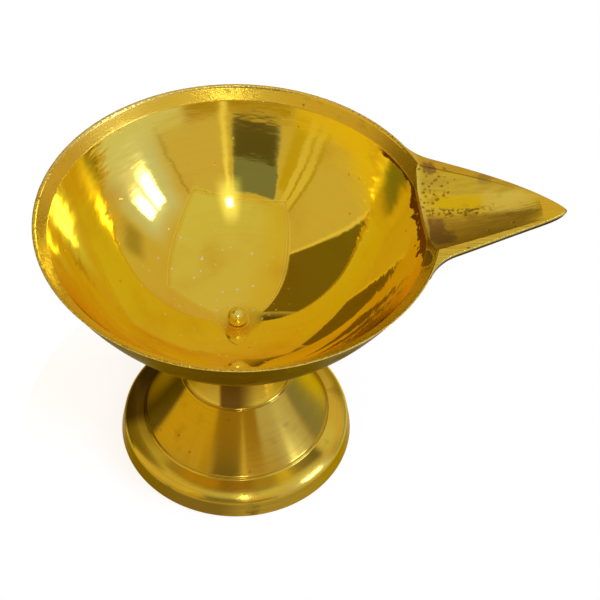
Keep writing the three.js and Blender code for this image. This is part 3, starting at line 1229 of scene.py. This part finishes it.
@dataclass(frozen=True)
class Surface:
    """What a finish reads of a place: coordinates in millimetres from the axis."""

    recipe: Recipe
    place: bpy.types.NodeSocket
    x: Signal
    y: Signal
    z: Signal
    radius: Signal
    along: bpy.types.NodeSocket
    lines: Signal | None = None
    pits: Signal | None = None

    @classmethod
    def of(cls, recipe: Recipe, datum: Datum) -> "Surface":
        """Reads the place in a material.

        Args:
            recipe: the material's nodes.
            datum: gives where the turning axis stands.

        Returns:
            The surface, still without the marks of the tool and without pits.
        """
        source = recipe.node("ShaderNodeTexCoord")
        feeds = {
            "Vector": source.outputs["Object"],
            "Location": (-datum.axis_x, 0.0, 0.0),
            "Scale": (1.0 / MM,) * 3,
        }
        place = recipe.node("ShaderNodeMapping", feeds).outputs["Vector"]
        x, y, z = recipe.axes(place)
        edges = recipe.node("ShaderNodeUVMap", settings={"uv_map": ALONG})
        return cls(recipe, place, x, y, z, recipe.gap(x, y), edges.outputs["UV"])

    def near(self, x: float, y: float, inner: float, outer: float) -> Signal:
        """Returns a mask round a place seen from above, 1 within the inner radius."""
        return self.recipe.gap(self.x - x, self.y - y).fall(inner, outer)

    def noise(self, scale: float, detail: float) -> Signal:
        """Returns a noise with a number of blobs to a millimetre, from 0 to 1."""
        return self.recipe.noise(self.place, scale, detail)

    def cells(self, spacing: float) -> tuple[Signal, Signal]:
        """Scatters points through the brass.

        Args:
            spacing: about how far apart they are, in millimetres.

        Returns:
            The distance to the nearest point, in spacings, and a number drawn for it.
        """
        feeds = {"Vector": self.place, "Scale": 1.0 / spacing}
        node = self.recipe.node("ShaderNodeTexVoronoi", feeds)
        colour = {"Color": node.outputs["Color"]}
        drawn = self.recipe.signal("ShaderNodeSeparateColor", "Red", colour)
        return Signal(self.recipe, node.outputs["Distance"]), drawn

    def rings(self, pitch: float, length: float) -> Signal:
        """Makes a noise that is drawn out round the axis.

        Args:
            pitch: spacing of the lines in millimetres.
            length: how long a line lasts, as a share of the way round.

        Returns:
            The noise.
        """
        turns = 1.0 / (2.0 * math.pi * length)
        turn = self.x / self.radius * turns
        feeds = {
            "Vector": self.recipe.vector(self.radius / pitch, self.z / pitch, turn),
            "W": self.y / self.radius * turns,
            "Scale": 1.0,
            "Detail": 3.0,
        }
        fourth = {"noise_dimensions": "4D"}
        return self.recipe.signal("ShaderNodeTexNoise", "Fac", feeds, fourth)

    def grain(self, pitch: float, length: float) -> Signal:
        """Returns a noise drawn out along the spout, both measures in millimetres."""
        drawn = self.recipe.vector(self.x / length, self.y / pitch, self.z / pitch)
        return self.recipe.noise(drawn, 1.0, 3.0)

    def strokes(self, count: float, length: float) -> Signal:
        """Returns a noise of lines along the edges: how many across, and how many round."""
        turn, across, _ = self.recipe.axes(self.along)
        return self.recipe.noise(self.recipe.vector(turn * length, across * count, 0.0), 1.0, 3.0)


@dataclass(frozen=True)
class BrassFinish:
    """One finish of the brass: how it was worked and how it has dulled."""

    name: str
    clean: Colour
    dull: Colour
    dulled: float = 0.35
    patch_size: float = 6.0
    roughness: float = 0.2
    roughness_spread: float = 0.1
    marks: Marks = Marks.ROUND_THE_AXIS
    mark_pitch: float = 0.3
    mark_length: float = 0.15
    mark_depth: float = 0.001
    wave_size: float = 5.0
    wave_height: float = 0.0
    pit_spacing: float = 1.6
    pit_share: float = 0.12
    pit_size: float = 0.14
    pit_depth: float = 0.004
    patch_shows: float = 0.8
    line_shows: float = 0.15
    pit_shows: float = 0.8
    line_blur: float = 0.3
    pit_blur: float = 0.3
    brushed: float = 0.0
    edge: Colour = WHITE

    def material(self, datum: Datum) -> bpy.types.Material:
        """Makes the material of this finish, once.

        Args:
            datum: gives where the turning axis stands.

        Returns:
            The material.
        """
        known = bpy.data.materials.get(self.name)
        if known is not None:
            return known
        made = bpy.data.materials.new(self.name)
        recipe = Recipe(made)
        at = Surface.of(recipe, datum)
        at = replace(at, lines=self._lines(at), pits=self._pits(at))
        relief = {"Strength": 1.0, "Distance": MM, "Height": self._height(at)}
        bump = recipe.node("ShaderNodeBump", relief)
        feeds = {
            "Base Color": self._colour(at),
            "Metallic": 1.0,
            "Specular Tint": self.edge,
            "Roughness": self._roughness(at),
            "Anisotropic": self.brushed,
            "Anisotropic Rotation": BRUSHED_ACROSS if self.brushed else 0.0,
            "Normal": bump.outputs["Normal"],
        }
        shader = recipe.node("ShaderNodeBsdfPrincipled", feeds)
        recipe.node("ShaderNodeOutputMaterial", {"Surface": shader.outputs["BSDF"]})
        return made

    def _lines(self, at: Surface) -> Signal:
        """Draws the marks of the tool.

        Args:
            at: the place on the surface.

        Returns:
            The marks, from 0 to 1.
        """
        if self.marks is Marks.CAST:
            return at.noise(1.0 / self.mark_pitch, 4.0)
        drawn = {
            Marks.ROUND_THE_AXIS: at.rings,
            Marks.ALONG_THE_EDGES: at.strokes,
            Marks.ALONG_THE_SPOUT: at.grain,
        }
        return drawn[self.marks](self.mark_pitch, self.mark_length)

    def _pit_share(self, at: Surface) -> Feed:
        """Returns the share of the scattered points that are pits."""
        return self.pit_share

    def _pits(self, at: Surface) -> Signal:
        """Scatters the small pits.

        Args:
            at: the place on the surface.

        Returns:
            1 at the middle of each pit, and 0 between them.
        """
        distance, drawn = at.cells(self.pit_spacing)
        reach = distance.fall(0.6 * self.pit_size, 1.4 * self.pit_size)
        return reach * (drawn - self._pit_share(at)).fall(-0.02, 0.02)

    def _patches(self, at: Surface) -> Signal:
        """Returns where the brass has dulled, from 0 to 1."""
        worn = at.noise(1.0 / self.patch_size, 5.0)
        return worn.rise(0.62 - 0.5 * self.dulled, 0.95 - 0.5 * self.dulled)

    def _height(self, at: Surface) -> Signal:
        """Adds up marks, pits and waves.

        Args:
            at: the place on the surface.

        Returns:
            The relief in millimetres.
        """
        height = at.lines * self.mark_depth - at.pits * self.pit_depth
        if self.wave_height:
            height = height + at.noise(1.0 / self.wave_size, 1.0) * self.wave_height
        return height

    def _metal(self, at: Surface) -> Feed:
        """Returns the colour of the clean metal."""
        return self.clean

    def _soil_and_shade(self, at: Surface) -> Feed:
        """Returns how much duller than elsewhere a place is."""
        return 0.0

    def _colour(self, at: Surface) -> Feed:
        """Lays dull patches, marks and pits over the clean metal, and the stains and painted shade
        that some finishes add.

        Args:
            at: the place on the surface.

        Returns:
            The colour.
        """
        worn = self._patches(at) * self.patch_shows
        worn = worn + at.lines.rise(0.45, 0.8) * self.line_shows + at.pits * self.pit_shows
        share = at.recipe.math("MINIMUM", worn + self._soil_and_shade(at), 1.0)
        return at.recipe.blend(self._metal(at), self.dull, share)

    def _roughness(self, at: Surface) -> Signal:
        """Works out how blurred the reflections are.

        Args:
            at: the place on the surface.

        Returns:
            The roughness, more in dull patches, marks and pits.
        """
        spread = self.roughness_spread
        worn = self._patches(at) * spread + at.lines * (self.line_blur * spread)
        return worn + at.pits * self.pit_blur + self.roughness


@dataclass(frozen=True)
class BowlPolish(BrassFinish):
    """The mirror polish inside the bowl, stained beside the spout's sill."""

    wall: Colour = (0.98, 0.8, 0.09)
    stain: Colour = (0.2, 0.075, 0.012)
    drops: Colour = (1.0, 1.0, 0.85)
    drop_spacing: float = 1.15
    haze: float = 0.06
    ripple_pitch: float = 2.6
    ripple_height: float = 0.07

    def _metal(self, at: Surface) -> Feed:
        """Returns the colour of the floor, going over to that of the wall."""
        return at.recipe.blend(self.clean, self.wall, at.radius.rise(8.0, 20.0))

    def _stain(self, at: Surface) -> Signal:
        """Draws the stains: a ragged dark edge below the sill, and one on the floor.

        Args:
            at: the place on the surface.

        Returns:
            Where they are, from 0 to 1.
        """
        ragged = at.noise(0.9, 4.0)
        width = abs(at.y - 0.2).fall(4.5, 8.0) + 0.3
        inner = 27.85 - width * (ragged * 2.4 - 0.35)
        reach = at.y.between(-9.5, 16.0, 1.0) * at.x.rise(20.0, 22.0)
        floor = at.near(-5.4, -9.4, 0.2, 2.2) * 0.9 + ragged
        return (at.radius - inner).rise(0.0, 0.12) * reach + floor.rise(1.1, 1.7) * 0.35

    def _drops(self, at: Surface) -> Signal:
        """Scatters the dried droplets on the floor.

        Args:
            at: the place on the surface.

        Returns:
            Where they are, from 0 to 1.
        """
        distance, drawn = at.cells(self.drop_spacing)
        size = drawn * 0.3 + 0.12
        dried = drawn.fall(0.36, 0.4) * at.near(-3.0, 2.0, 9.0, 15.0)
        return (distance - size).fall(-0.05, 0.03) * dried

    def _height(self, at: Surface) -> Signal:
        """Returns the relief, with long ripples round the upper wall."""
        ripples = at.rings(self.ripple_pitch, 0.05) * at.radius.rise(17.0, 25.0)
        return super()._height(at) + ripples * self.ripple_height

    def _colour(self, at: Surface) -> Feed:
        """Returns the colour of the polish with its stains and its droplets."""
        coats = ((self.stain, self._stain(at)), (self.drops, self._drops(at) * 0.7))
        return at.recipe.layers(super()._colour(at), *coats)

    def _roughness(self, at: Surface) -> Signal:
        """Works out how blurred the reflections are.

        Args:
            at: the place on the surface.

        Returns:
            The roughness, more up the wall, round the rivet, and in stain and droplets.
        """
        hazy = at.radius.rise(20.0, 26.5) * self.haze + at.radius.fall(2.6, 4.6) * 0.35
        plain = super()._roughness(at) + hazy
        return plain + self._stain(at) * 0.3 + self._drops(at) * 0.25


@dataclass(frozen=True)
class RimScrape(BrassFinish):
    """The scraped band inside the rim, with a small pocket by the spout's near root, drawn only in
    colour as painted shade inside it and a painted highlight round it.
    """

    # Painted shade inside the pocket.
    pocket: Colour = (0.36, 0.22, 0.03)
    # Painted highlight round the pocket's edge.
    pocket_edge_highlight: Colour = (1.0, 0.85, 0.35)

    def _soil_and_shade(self, at: Surface) -> Feed:
        """Draws the stains: under the spout's sill, by its far root and on the far left.

        Args:
            at: the place on the surface.

        Returns:
            How much duller than elsewhere a place is.
        """
        sill = abs(at.y - 0.5).fall(5.5, 8.0) * at.x.rise(25.0, 26.0)
        low = at.z.fall(48.4, 48.9)
        ragged = at.noise(0.9, 5.0) * 1.6
        root = (at.near(28.6, 10.3, 0.4, 3.0) + ragged).rise(1.35, 1.9)
        far_side = at.x.fall(-16.0, -4.0) * at.y.rise(4.0, 14.0)
        edge = (at.radius - 29.6 + ragged).rise(0.75, 1.1) * far_side
        return sill * low * 0.95 + root * 0.75 + edge * 0.8

    def _colour(self, at: Surface) -> Feed:
        """Paints the pocket on the band: painted shade inside it and a painted highlight along its
        outline.

        Args:
            at: the place on the surface.

        Returns:
            The colour.
        """
        across = (at.x - 26.75 + (at.y + 8.0) * 0.1) / 1.15
        along = (at.y + 8.0) / 2.5
        gap = at.recipe.gap(across, along) + (at.noise(0.8, 3.0) - 0.5) * 0.35
        inside, outline = gap.fall(0.8, 0.92), gap.between(0.86, 1.04, 0.05)
        # Painted shade inside the pocket, painted highlight along its outline.
        coats = ((self.pocket, inside * 0.85), (self.pocket_edge_highlight, outline * 0.85))
        return at.recipe.layers(super()._colour(at), *coats)


@dataclass(frozen=True)
class SpoutFiling(BrassFinish):
    """The filed rim, flats and trough: painted shade darkens the trough's near side and a patch
    beside its sill, so that its far side looks the lighter.

    Places are in millimetres from the turning axis: x along the spout, y to its far side.
    """

    rim: Colour = (1.0, 0.76, 0.14)
    filed: Colour = (1.0, 0.78, 0.1)
    # Painted shade on the trough's near side.
    near_side_shade: Colour = (0.7, 0.49, 0.06)
    gold: Colour = (1.0, 0.67, 0.01)
    pale: Colour = (1.0, 0.79, 0.16)
    olive: Colour = (0.78, 0.55, 0.06)
    # Colour of the scorched places, and of the painted shade beside the sill.
    burnt_and_shade: Colour = (0.33, 0.19, 0.06)
    soot: Colour = (0.2, 0.11, 0.02)
    scratch_depth: float = 0.08
    nick_depth: float = 0.14

    def _metal(self, at: Surface) -> Feed:
        """Colours rim, flats and trough, with scorched and sooty places and with painted shade.

        Args:
            at: the place on the surface.

        Returns:
            The colour, still without dull patches and pits.
        """
        layers = at.recipe.layers
        wander = (at.noise(0.35, 4.0) - 0.5) * 2.0
        ragged = at.noise(0.7, 5.0)
        streaks = at.grain(0.7, 9.0).rise(0.4, 0.62)
        off = at.y - (at.x * -0.09 + 4.8) + wander * 0.9
        top = at.z.rise(49.25, 49.48)
        low = 1.0 - top
        gold = at.x.between(29.6, 36.6, 0.7) * off.between(0.6, 3.0, 0.5)
        dusty = at.near(37.6, 7.2, 0.6, 2.4) * 1.3 + ragged
        # Painted shade: a dark patch in the trough beside the sill, on its near side.
        trough_shade = at.near(29.0, -0.4, 0.6, 2.8) + at.near(29.6, -3.8, 1.2, 3.6)
        trough_shade = (trough_shade * 1.2 + ragged * 1.7).rise(1.3, 2.0) * low
        broken = at.noise(1.7, 4.0).rise(0.46, 0.56)
        crack = abs(at.y - 2.0 + wander * 1.1).fall(0.2, 0.9) * at.x.fall(36.0, 39.5)
        root = (at.near(29.3, 9.9, 0.4, 2.6) + ragged * 1.6).rise(1.3, 1.75)
        lip = (at.radius - 28.0 + wander * 0.25).fall(0.1, 0.4) * low
        far = layers(
            self.clean,
            (self.pale, at.x.rise(35.5, 39.0) * 0.8),
            (self.gold, gold * 0.9),
            (self.olive, off.rise(2.9, 3.8) * (streaks * 0.5 + 0.5)),
            (self.olive, top * streaks * 0.6),
            (self.burnt_and_shade, dusty.rise(1.3, 2.0) * 0.5),
        )
        # Painted shade on the trough's near side; the flat on top keeps the filed colour.
        near = layers(
            self.near_side_shade, (self.clean, streaks * 0.35), (self.filed, top * (streaks * 0.3 + 0.7))
        )
        both = layers(
            far,
            (near, off.fall(-0.9, 0.0)),
            (self.clean, at.x.rise(42.0, 45.5) * 0.8),
            (self.burnt_and_shade, trough_shade * 0.85),
            (self.soot, crack * broken * low * 0.75),
            (self.burnt_and_shade, root * 0.85),
            (self.pale, lip * 0.6),
        )
        return layers(self.rim, (both, at.x.rise(27.4, 28.2)))

    def _pit_share(self, at: Surface) -> Feed:
        """Crowds the pits at the far root and along the middle.

        Args:
            at: the place on the surface.

        Returns:
            The share of the scattered points that are pits.
        """
        root = at.near(29.8, 7.0, 1.6, 3.6) + at.near(28.4, 4.5, 0.6, 2.0) * 0.6
        line = abs(at.y - 1.8).fall(0.4, 1.3) * at.x.between(30.0, 37.0, 1.0)
        return root + line * 0.6 + self.pit_share

    def _height(self, at: Surface) -> Signal:
        """Adds coarse scratches on the near flat, and nicks in the rim.

        Args:
            at: the place on the surface.

        Returns:
            The relief in millimetres.
        """
        near_flat = at.z.rise(49.3, 49.48) * at.y.fall(-3.0, -1.0) * at.x.rise(27.0, 29.0)
        nicks = at.noise(1.9, 3.0) * at.radius.between(29.45, 30.6, 0.1) * at.x.fall(24.0, 27.0)
        scratches = near_flat * at.lines * self.scratch_depth
        return super()._height(at) + scratches + nicks * self.nick_depth


@dataclass(frozen=True)
class OutsideTurning(BrassFinish):
    """The turned outside of the bowl, with painted shade below the rim."""

    def _soil_and_shade(self, at: Surface) -> Feed:
        """Returns painted shade below the rim, with a ragged lower edge."""
        return (at.z + at.noise(0.25, 3.0) * 4.0).rise(36.0, 48.0)


@dataclass(frozen=True)
class FootTurning(BrassFinish):
    """The turned outside of the foot, its shoulder polished, with painted shade on the neck, the
    base's edge and the grooves, and painted dark reflections on the neck's front and the left side.
    """

    polished: Colour = (0.96, 0.72, 0.09)
    # Colour of the painted dark reflections on the neck's front and on the left side.
    painted_dark_reflection: Colour = (0.14, 0.065, 0.01)

    def _metal(self, at: Surface) -> Feed:
        """Colours cone and shoulder, and paints dark reflections onto the neck's front and the left
        side.

        Args:
            at: the place on the surface.

        Returns:
            The colour, still without dull patches and pits.
        """
        # Painted dark reflection: a band down the front of the neck, and the left side below the
        # neck.
        front = at.z.rise(14.9, 15.2) * at.y.fall(-5.0, -3.0)
        stain = at.x.rise(-3.3, -2.6) * at.x.fall(-0.2, 3.4)
        left = at.y.rise(-4.5, -1.0) * at.x.fall(-9.0, -5.0) * at.z.fall(14.4, 14.8)
        polished = (self.polished, at.z.between(3.3, 5.0, 0.2))
        return at.recipe.layers(self.clean, polished, (self.painted_dark_reflection, front * stain + left * 0.85))

    def _soil_and_shade(self, at: Surface) -> Feed:
        """Paints shade: darkens the neck under the bowl, the base's edge, more on the left, and the
        grooves.

        Args:
            at: the place on the surface.

        Returns:
            How much duller than elsewhere a place is.
        """
        # Painted shade on the neck under the bowl, a painted dark reflection on the base's edge,
        # darker on the left, and painted shade in the grooves.
        neck = at.z.rise(14.4, 16.5) * 0.25
        edge = at.z.fall(2.6, 3.6) * (at.x.fall(-4.0, 1.5) * 0.3 + 0.68)
        groove_shade = at.z.between(5.0, 5.12, 0.06) + at.z.between(14.66, 14.86, 0.06)
        return neck + edge + groove_shade * 0.2


BOWL_POLISH = BowlPolish(
    name="bowl_polish",
    clean=(0.98, 0.72, 0.08),
    dull=(0.88, 0.55, 0.04),
    dulled=0.25,
    patch_size=9.0,
    roughness=0.03,
    roughness_spread=0.04,
    mark_pitch=0.42,
    mark_depth=0.0014,
    wave_size=7.0,
    wave_height=0.02,
    pit_spacing=1.5,
    pit_share=0.06,
    pit_depth=0.01,
)

RIM_SCRAPE = RimScrape(
    name="rim_scrape",
    clean=(0.96, 0.66, 0.06),
    dull=(0.5, 0.28, 0.03),
    dulled=0.18,
    patch_size=2.5,
    roughness=0.24,
    roughness_spread=0.15,
    marks=Marks.ALONG_THE_EDGES,
    mark_pitch=500.0,
    mark_length=22.0,
    mark_depth=0.01,
    pit_share=0.1,
)

SPOUT_FILING = SpoutFiling(
    name="spout_filing",
    clean=(1.0, 0.71, 0.05),
    dull=(0.45, 0.28, 0.03),
    dulled=0.15,
    patch_size=3.0,
    roughness=0.2,
    roughness_spread=0.15,
    marks=Marks.ALONG_THE_SPOUT,
    mark_pitch=0.3,
    mark_length=4.0,
    mark_depth=0.03,
    pit_spacing=0.75,
    pit_share=0.03,
    pit_size=0.33,
    pit_depth=0.04,
)

BOWL_OUTSIDE = OutsideTurning(
    name="bowl_outside",
    clean=(0.72, 0.53, 0.09),
    # dull is also the colour of the painted shade below the rim.
    dull=(0.21, 0.145, 0.02),
    edge=(0.5, 0.42, 0.15),
    dulled=0.35,
    patch_size=4.5,
    roughness=0.27,
    roughness_spread=0.15,
    mark_pitch=0.4,
    mark_depth=0.002,
    brushed=0.6,
)

FOOT_TURNING = FootTurning(
    name="foot_turning",
    clean=(0.72, 0.5, 0.05),
    # dull is also the colour of the painted shade on the neck, the base's edge and the grooves.
    dull=(0.2, 0.115, 0.012),
    edge=(0.75, 0.6, 0.3),
    dulled=0.08,
    patch_size=5.0,
    roughness=0.2,
    roughness_spread=0.05,
    mark_pitch=0.3,
    mark_depth=0.0009,
    pit_share=0.05,
    brushed=0.85,
)

RAW_CASTING = BrassFinish(
    name="raw_casting",
    clean=(0.55, 0.42, 0.16),
    dull=(0.25, 0.17, 0.06),
    dulled=0.5,
    patch_size=4.0,
    roughness=0.45,
    roughness_spread=0.2,
    marks=Marks.CAST,
    mark_pitch=0.5,
    mark_depth=0.03,
)

BEAD_POLISH = BrassFinish(
    name="bead_polish",
    clean=(0.98, 0.8, 0.2),
    dull=(0.6, 0.4, 0.05),
    dulled=0.2,
    patch_size=1.5,
    roughness=0.22,
    roughness_spread=0.1,
    mark_pitch=0.15,
    mark_depth=0.0005,
    pit_share=0.05,
)


@dataclass(frozen=True)
class Panel:
    """A flat light or a dark screen round the lamp, in degrees as seen from the bowl.

    Azimuth 0 is beyond the lamp from the camera, 90 to the camera's right and 180
    behind the camera. slant is how far the panel's middle shifts, and flare how much
    wider it gets, for each degree up. fade is how softly its low end sets in.
    """

    azimuth: float
    width: float
    low: float
    high: float
    colour: Colour
    slant: float = 0.0
    flare: float = 0.0
    soft: float = 1.0
    share: float = 1.0
    fade: float = 0.0

    def mask(self, azimuth: Signal, elevation: Signal) -> Signal:
        """Makes the panel's mask.

        Args:
            azimuth: the direction's azimuth in degrees.
            elevation: the direction's elevation in degrees.

        Returns:
            Where the panel is, from 0 to its share.
        """
        half, soft, fade = self.width / 2, self.soft, self.fade or self.soft
        up = elevation - (self.low + self.high) / 2
        off = azimuth - self.azimuth
        if self.slant:
            off = off - up * self.slant
        off = abs(azimuth.recipe.math("WRAP", off, 180.0, -180.0))
        if self.flare:
            off = off - up * (self.flare / 2)
        level = elevation.rise(self.low - fade, self.low + fade)
        below = elevation.fall(self.high - soft, self.high + soft)
        return off.fall(half - soft, half + soft) * level * below * self.share


@dataclass(frozen=True)
class Ceiling:
    """The rectangle of the ceiling, with a moulding round it.

    The four reaches are to its sides as shares of its height above the lamp.
    """

    azimuth: float = 95.0
    right: float = 0.84
    left: float = 0.577
    behind: float = 0.8
    beyond: float = 0.8
    warm: Colour = (0.6, 0.5, 0.22)
    pale: Colour = (0.6, 0.56, 0.48)
    soft: float = 0.012
    mouldings: tuple[tuple[float, Colour], ...] = (
        (0.07, (0.66, 0.55, 0.36)),
        (0.045, (0.42, 0.32, 0.12)),
        (0.03, (0.68, 0.58, 0.4)),
        (0.008, (0.46, 0.36, 0.14)),
    )

    def over(self, light: Feed, azimuth: Signal, elevation: Signal) -> Feed:
        """Lays the ceiling over the surroundings.

        Args:
            light: the colour of the walls.
            azimuth: the direction's azimuth in degrees.
            elevation: the direction's elevation in degrees.

        Returns:
            The colour of the surroundings with the ceiling.
        """
        recipe = azimuth.recipe
        turn = (azimuth - (self.azimuth - 90.0)) * DEGREE
        above = recipe.math("MAXIMUM", elevation, 1.0) * DEGREE
        flat = 1.0 / recipe.math("TANGENT", above)
        across = recipe.math("SINE", turn) * flat
        along = recipe.math("COSINE", turn) * flat
        plain = recipe.blend(self.warm, self.pale, across.rise(-0.5, 0.0))
        for margin, colour in (*self.mouldings, (0.0, plain)):
            sides = across.between(-self.left - margin, self.right + margin, self.soft)
            ends = along.between(-self.behind - margin, self.beyond + margin, self.soft)
            light = recipe.blend(light, colour, sides * ends)
        return light


@dataclass
class Studio:
    """The floor, the surroundings that the brass reflects, and the camera."""

    datum: Datum
    camera_turn: float = 5.63
    camera_elevation: float = 47.331
    camera_roll: float = 3.124
    camera_distance: float = 232.85
    target_x: float = 9.7
    target_z: float = 31.8
    lens: float = 90.0
    sensor: float = 36.0
    view_depth: Point = (0.01, 20.0)
    floor_segments: int = 96
    floor_radius: float = 0.036
    floor_middle: Point = (-0.0095, 0.0)
    floor_colour: Colour = (0.8, 0.8, 0.8)
    floor_share: float = 0.3
    floor_glow: float = 2.58
    reflections: int = 14
    walls: Colour = (0.58, 0.45, 0.28)
    ceiling: Ceiling = Ceiling()
    wall_panels: tuple[Panel, ...] = (
        Panel(0.0, 84.0, -90.0, 26.0, (0.3, 0.23, 0.08), soft=8.0),
        Panel(140.0, 50.0, 10.0, 50.0, (0.58, 0.45, 0.36), soft=6.0),
        Panel(-145.0, 12.0, 12.0, 40.0, (0.52, 0.37, 0.04), soft=2.0),
        Panel(-58.4, 38.6, -90.0, 62.0, (0.75, 0.6, 0.36), slant=-0.15, flare=0.3, soft=1.0),
        Panel(-57.6, 35.2, -90.0, 62.0, (0.17, 0.12, 0.02), slant=-0.15, flare=0.3, soft=1.0),
        Panel(-137.5, 12.0, 10.0, 60.0, (0.68, 0.53, 0.28), slant=-0.08, soft=0.6),
        Panel(-137.8, 1.6, 10.0, 60.0, (0.42, 0.33, 0.08), slant=-0.08, soft=0.5),
        Panel(-131.0, 2.6, 10.0, 60.0, (0.45, 0.35, 0.08), slant=-0.08, soft=0.6),
        Panel(105.0, 38.0, -8.0, 42.0, (0.58, 0.6, 1.3), soft=7.0),
        Panel(104.0, 18.0, 10.0, 36.0, (0.85, 0.9, 2.2), soft=5.0, fade=10.0),
        Panel(74.0, 16.0, 21.0, 31.0, (0.36, 0.27, 0.14), soft=4.0),
        Panel(131.0, 2.0, 12.0, 46.0, (0.44, 0.33, 0.24), slant=0.25, soft=0.6),
        Panel(118.0, 66.0, -60.0, 13.0, (0.62, 0.62, 1.0), soft=6.0),
        Panel(-123.0, 78.0, -60.0, 13.0, (0.74, 0.52, 0.04), soft=5.0),
        Panel(62.0, 44.0, -90.0, 9.0, (0.26, 0.29, 0.6), soft=6.0),
        Panel(-38.0, 92.0, -90.0, 7.0, (0.08, 0.055, 0.01), soft=4.0),
        Panel(-22.0, 34.0, -90.0, 46.0, (0.1, 0.075, 0.02), soft=5.0),
        Panel(176.0, 62.0, -60.0, 15.0, (0.38, 0.24, 0.02), soft=4.0),
        Panel(-171.0, 33.0, 17.5, 46.5, (0.19, 0.2, 0.3), slant=0.17, flare=0.33, soft=0.8),
        Panel(-173.0, 28.0, 17.5, 31.0, (0.1, 0.08, 0.06), slant=0.17, flare=0.33, soft=1.5),
        Panel(167.3, 3.2, 6.0, 50.0, (0.9, 0.75, 0.6), soft=1.5),
    )
    lights: tuple[Panel, ...] = (
        Panel(98.5, 7.8, 23.5, 34.0, (7.0, 8.0, 16.0), slant=0.12, soft=1.2, fade=5.0),
        Panel(109.2, 8.2, 20.5, 34.5, (7.0, 8.0, 16.0), slant=0.03, soft=1.2, fade=5.0),
        Panel(167.5, 17.0, 42.0, 60.0, (1.5, 1.45, 1.6), soft=6.0, share=0.55),
        Panel(167.5, 6.0, 49.2, 53.6, (20.0, 19.0, 23.0), soft=1.2),
    )

    def _world(self) -> None:
        """Writes the surroundings: walls with panels, the ceiling, and the lights."""
        world = bpy.data.worlds.new("soft_studio")
        bpy.context.scene.world = world
        recipe = Recipe(world)
        x, y, z = recipe.axes(recipe.node("ShaderNodeTexCoord").outputs["Generated"])
        azimuth = recipe.math("ARCTAN2", x, y) * (1.0 / DEGREE) - self.camera_turn
        elevation = recipe.math("ARCSINE", z) * (1.0 / DEGREE)
        walls = [(panel.colour, panel.mask(azimuth, elevation)) for panel in self.wall_panels]
        light = self.ceiling.over(recipe.layers(self.walls, *walls), azimuth, elevation)
        lamps = [(panel.colour, panel.mask(azimuth, elevation)) for panel in self.lights]
        light = recipe.layers(light, *lamps, (WHITE, recipe.seen_by("Is Camera Ray")))
        background = recipe.node("ShaderNodeBackground", {"Color": light})
        recipe.node("ShaderNodeOutputWorld", {"Surface": background.outputs["Background"]})

    def _floor(self) -> bpy.types.Object:
        """Makes the round pale floor, which looks nearly white and keeps the shadow.

        Returns:
            The floor's object.
        """
        made = bmesh.new()
        bmesh.ops.create_circle(
            made,
            cap_ends=True,
            segments=self.floor_segments,
            radius=self.floor_radius,
            matrix=Matrix.Translation((*self.floor_middle, 0.0)),
        )
        mesh = bpy.data.meshes.new("floor")
        made.to_mesh(mesh)
        made.free()
        pale = bpy.data.materials.new("pale_floor")
        recipe = Recipe(pale)
        matt = {"Color": self.floor_colour, "Roughness": 0.5}
        plain = recipe.node("ShaderNodeBsdfDiffuse", matt)
        glow = recipe.node("ShaderNodeEmission", {"Color": WHITE, "Strength": self.floor_glow})
        seen = recipe.seen_by("Is Camera Ray", "Is Glossy Ray", "Is Transmission Ray")
        feeds = {
            "Fac": seen * self.floor_share,
            "Shader": plain.outputs["BSDF"],
            "Shader_001": glow.outputs["Emission"],
        }
        mixed = recipe.node("ShaderNodeMixShader", feeds)
        recipe.node("ShaderNodeOutputMaterial", {"Surface": mixed.outputs["Shader"]})
        mesh.materials.append(pale)
        floor = add_object("floor", mesh)
        return floor

    def _camera(self) -> bpy.types.Object:
        """Sets up the camera at the photographed angle and distance.

        Returns:
            The camera's object.
        """
        elevation = math.radians(self.camera_elevation)
        roll = math.radians(self.camera_roll)
        turned = Matrix.Rotation(-math.radians(self.camera_turn), 3, "Z")
        axis = Vector((self.datum.axis_x, 0.0, 0.0))
        target = turned @ Vector((self.target_x, 0.0, self.target_z)) + axis
        back = turned @ Vector((0.0, -math.cos(elevation), math.sin(elevation)))
        level = turned @ Vector((1.0, 0.0, 0.0))
        right = math.cos(roll) * level + math.sin(roll) * back.cross(level)
        place = Matrix((right, back.cross(right), back)).transposed().to_4x4()
        place.translation = (target + back * self.camera_distance) * MM
        data = bpy.data.cameras.new("camera")
        data.lens, data.sensor_width = self.lens, self.sensor
        data.clip_start, data.clip_end = self.view_depth
        camera = add_object("camera", data)
        camera.matrix_world = place
        bpy.context.scene.camera = camera
        return camera

    def build(self) -> None:
        """Makes the floor, the surroundings and the camera."""
        scene = bpy.context.scene
        scene.view_settings.view_transform = "Standard"
        scene.cycles.max_bounces = self.reflections
        scene.cycles.glossy_bounces = self.reflections
        self._world()
        self._floor()
        self._camera()


def main() -> None:
    """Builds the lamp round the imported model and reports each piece."""
    logging.basicConfig(level=logging.INFO, format="%(message)s")
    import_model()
    datum = Datum.from_frame()
    for node, slot, maker in (
        ("bowl", "bowl_brass", Bowl(datum)),
        ("foot", "foot_brass", Foot(datum)),
        ("rivet", "rivet_brass", Rivet(datum)),
    ):
        piece = maker.build()
        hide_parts(node)
        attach(piece, BODY)
        log.info("%s: %d faces, stands for %s", piece.name, len(piece.data.polygons), node)
    Studio(datum).build()
    log.info("floor, surroundings and camera are in place")


if __name__ == "__main__":
    main()
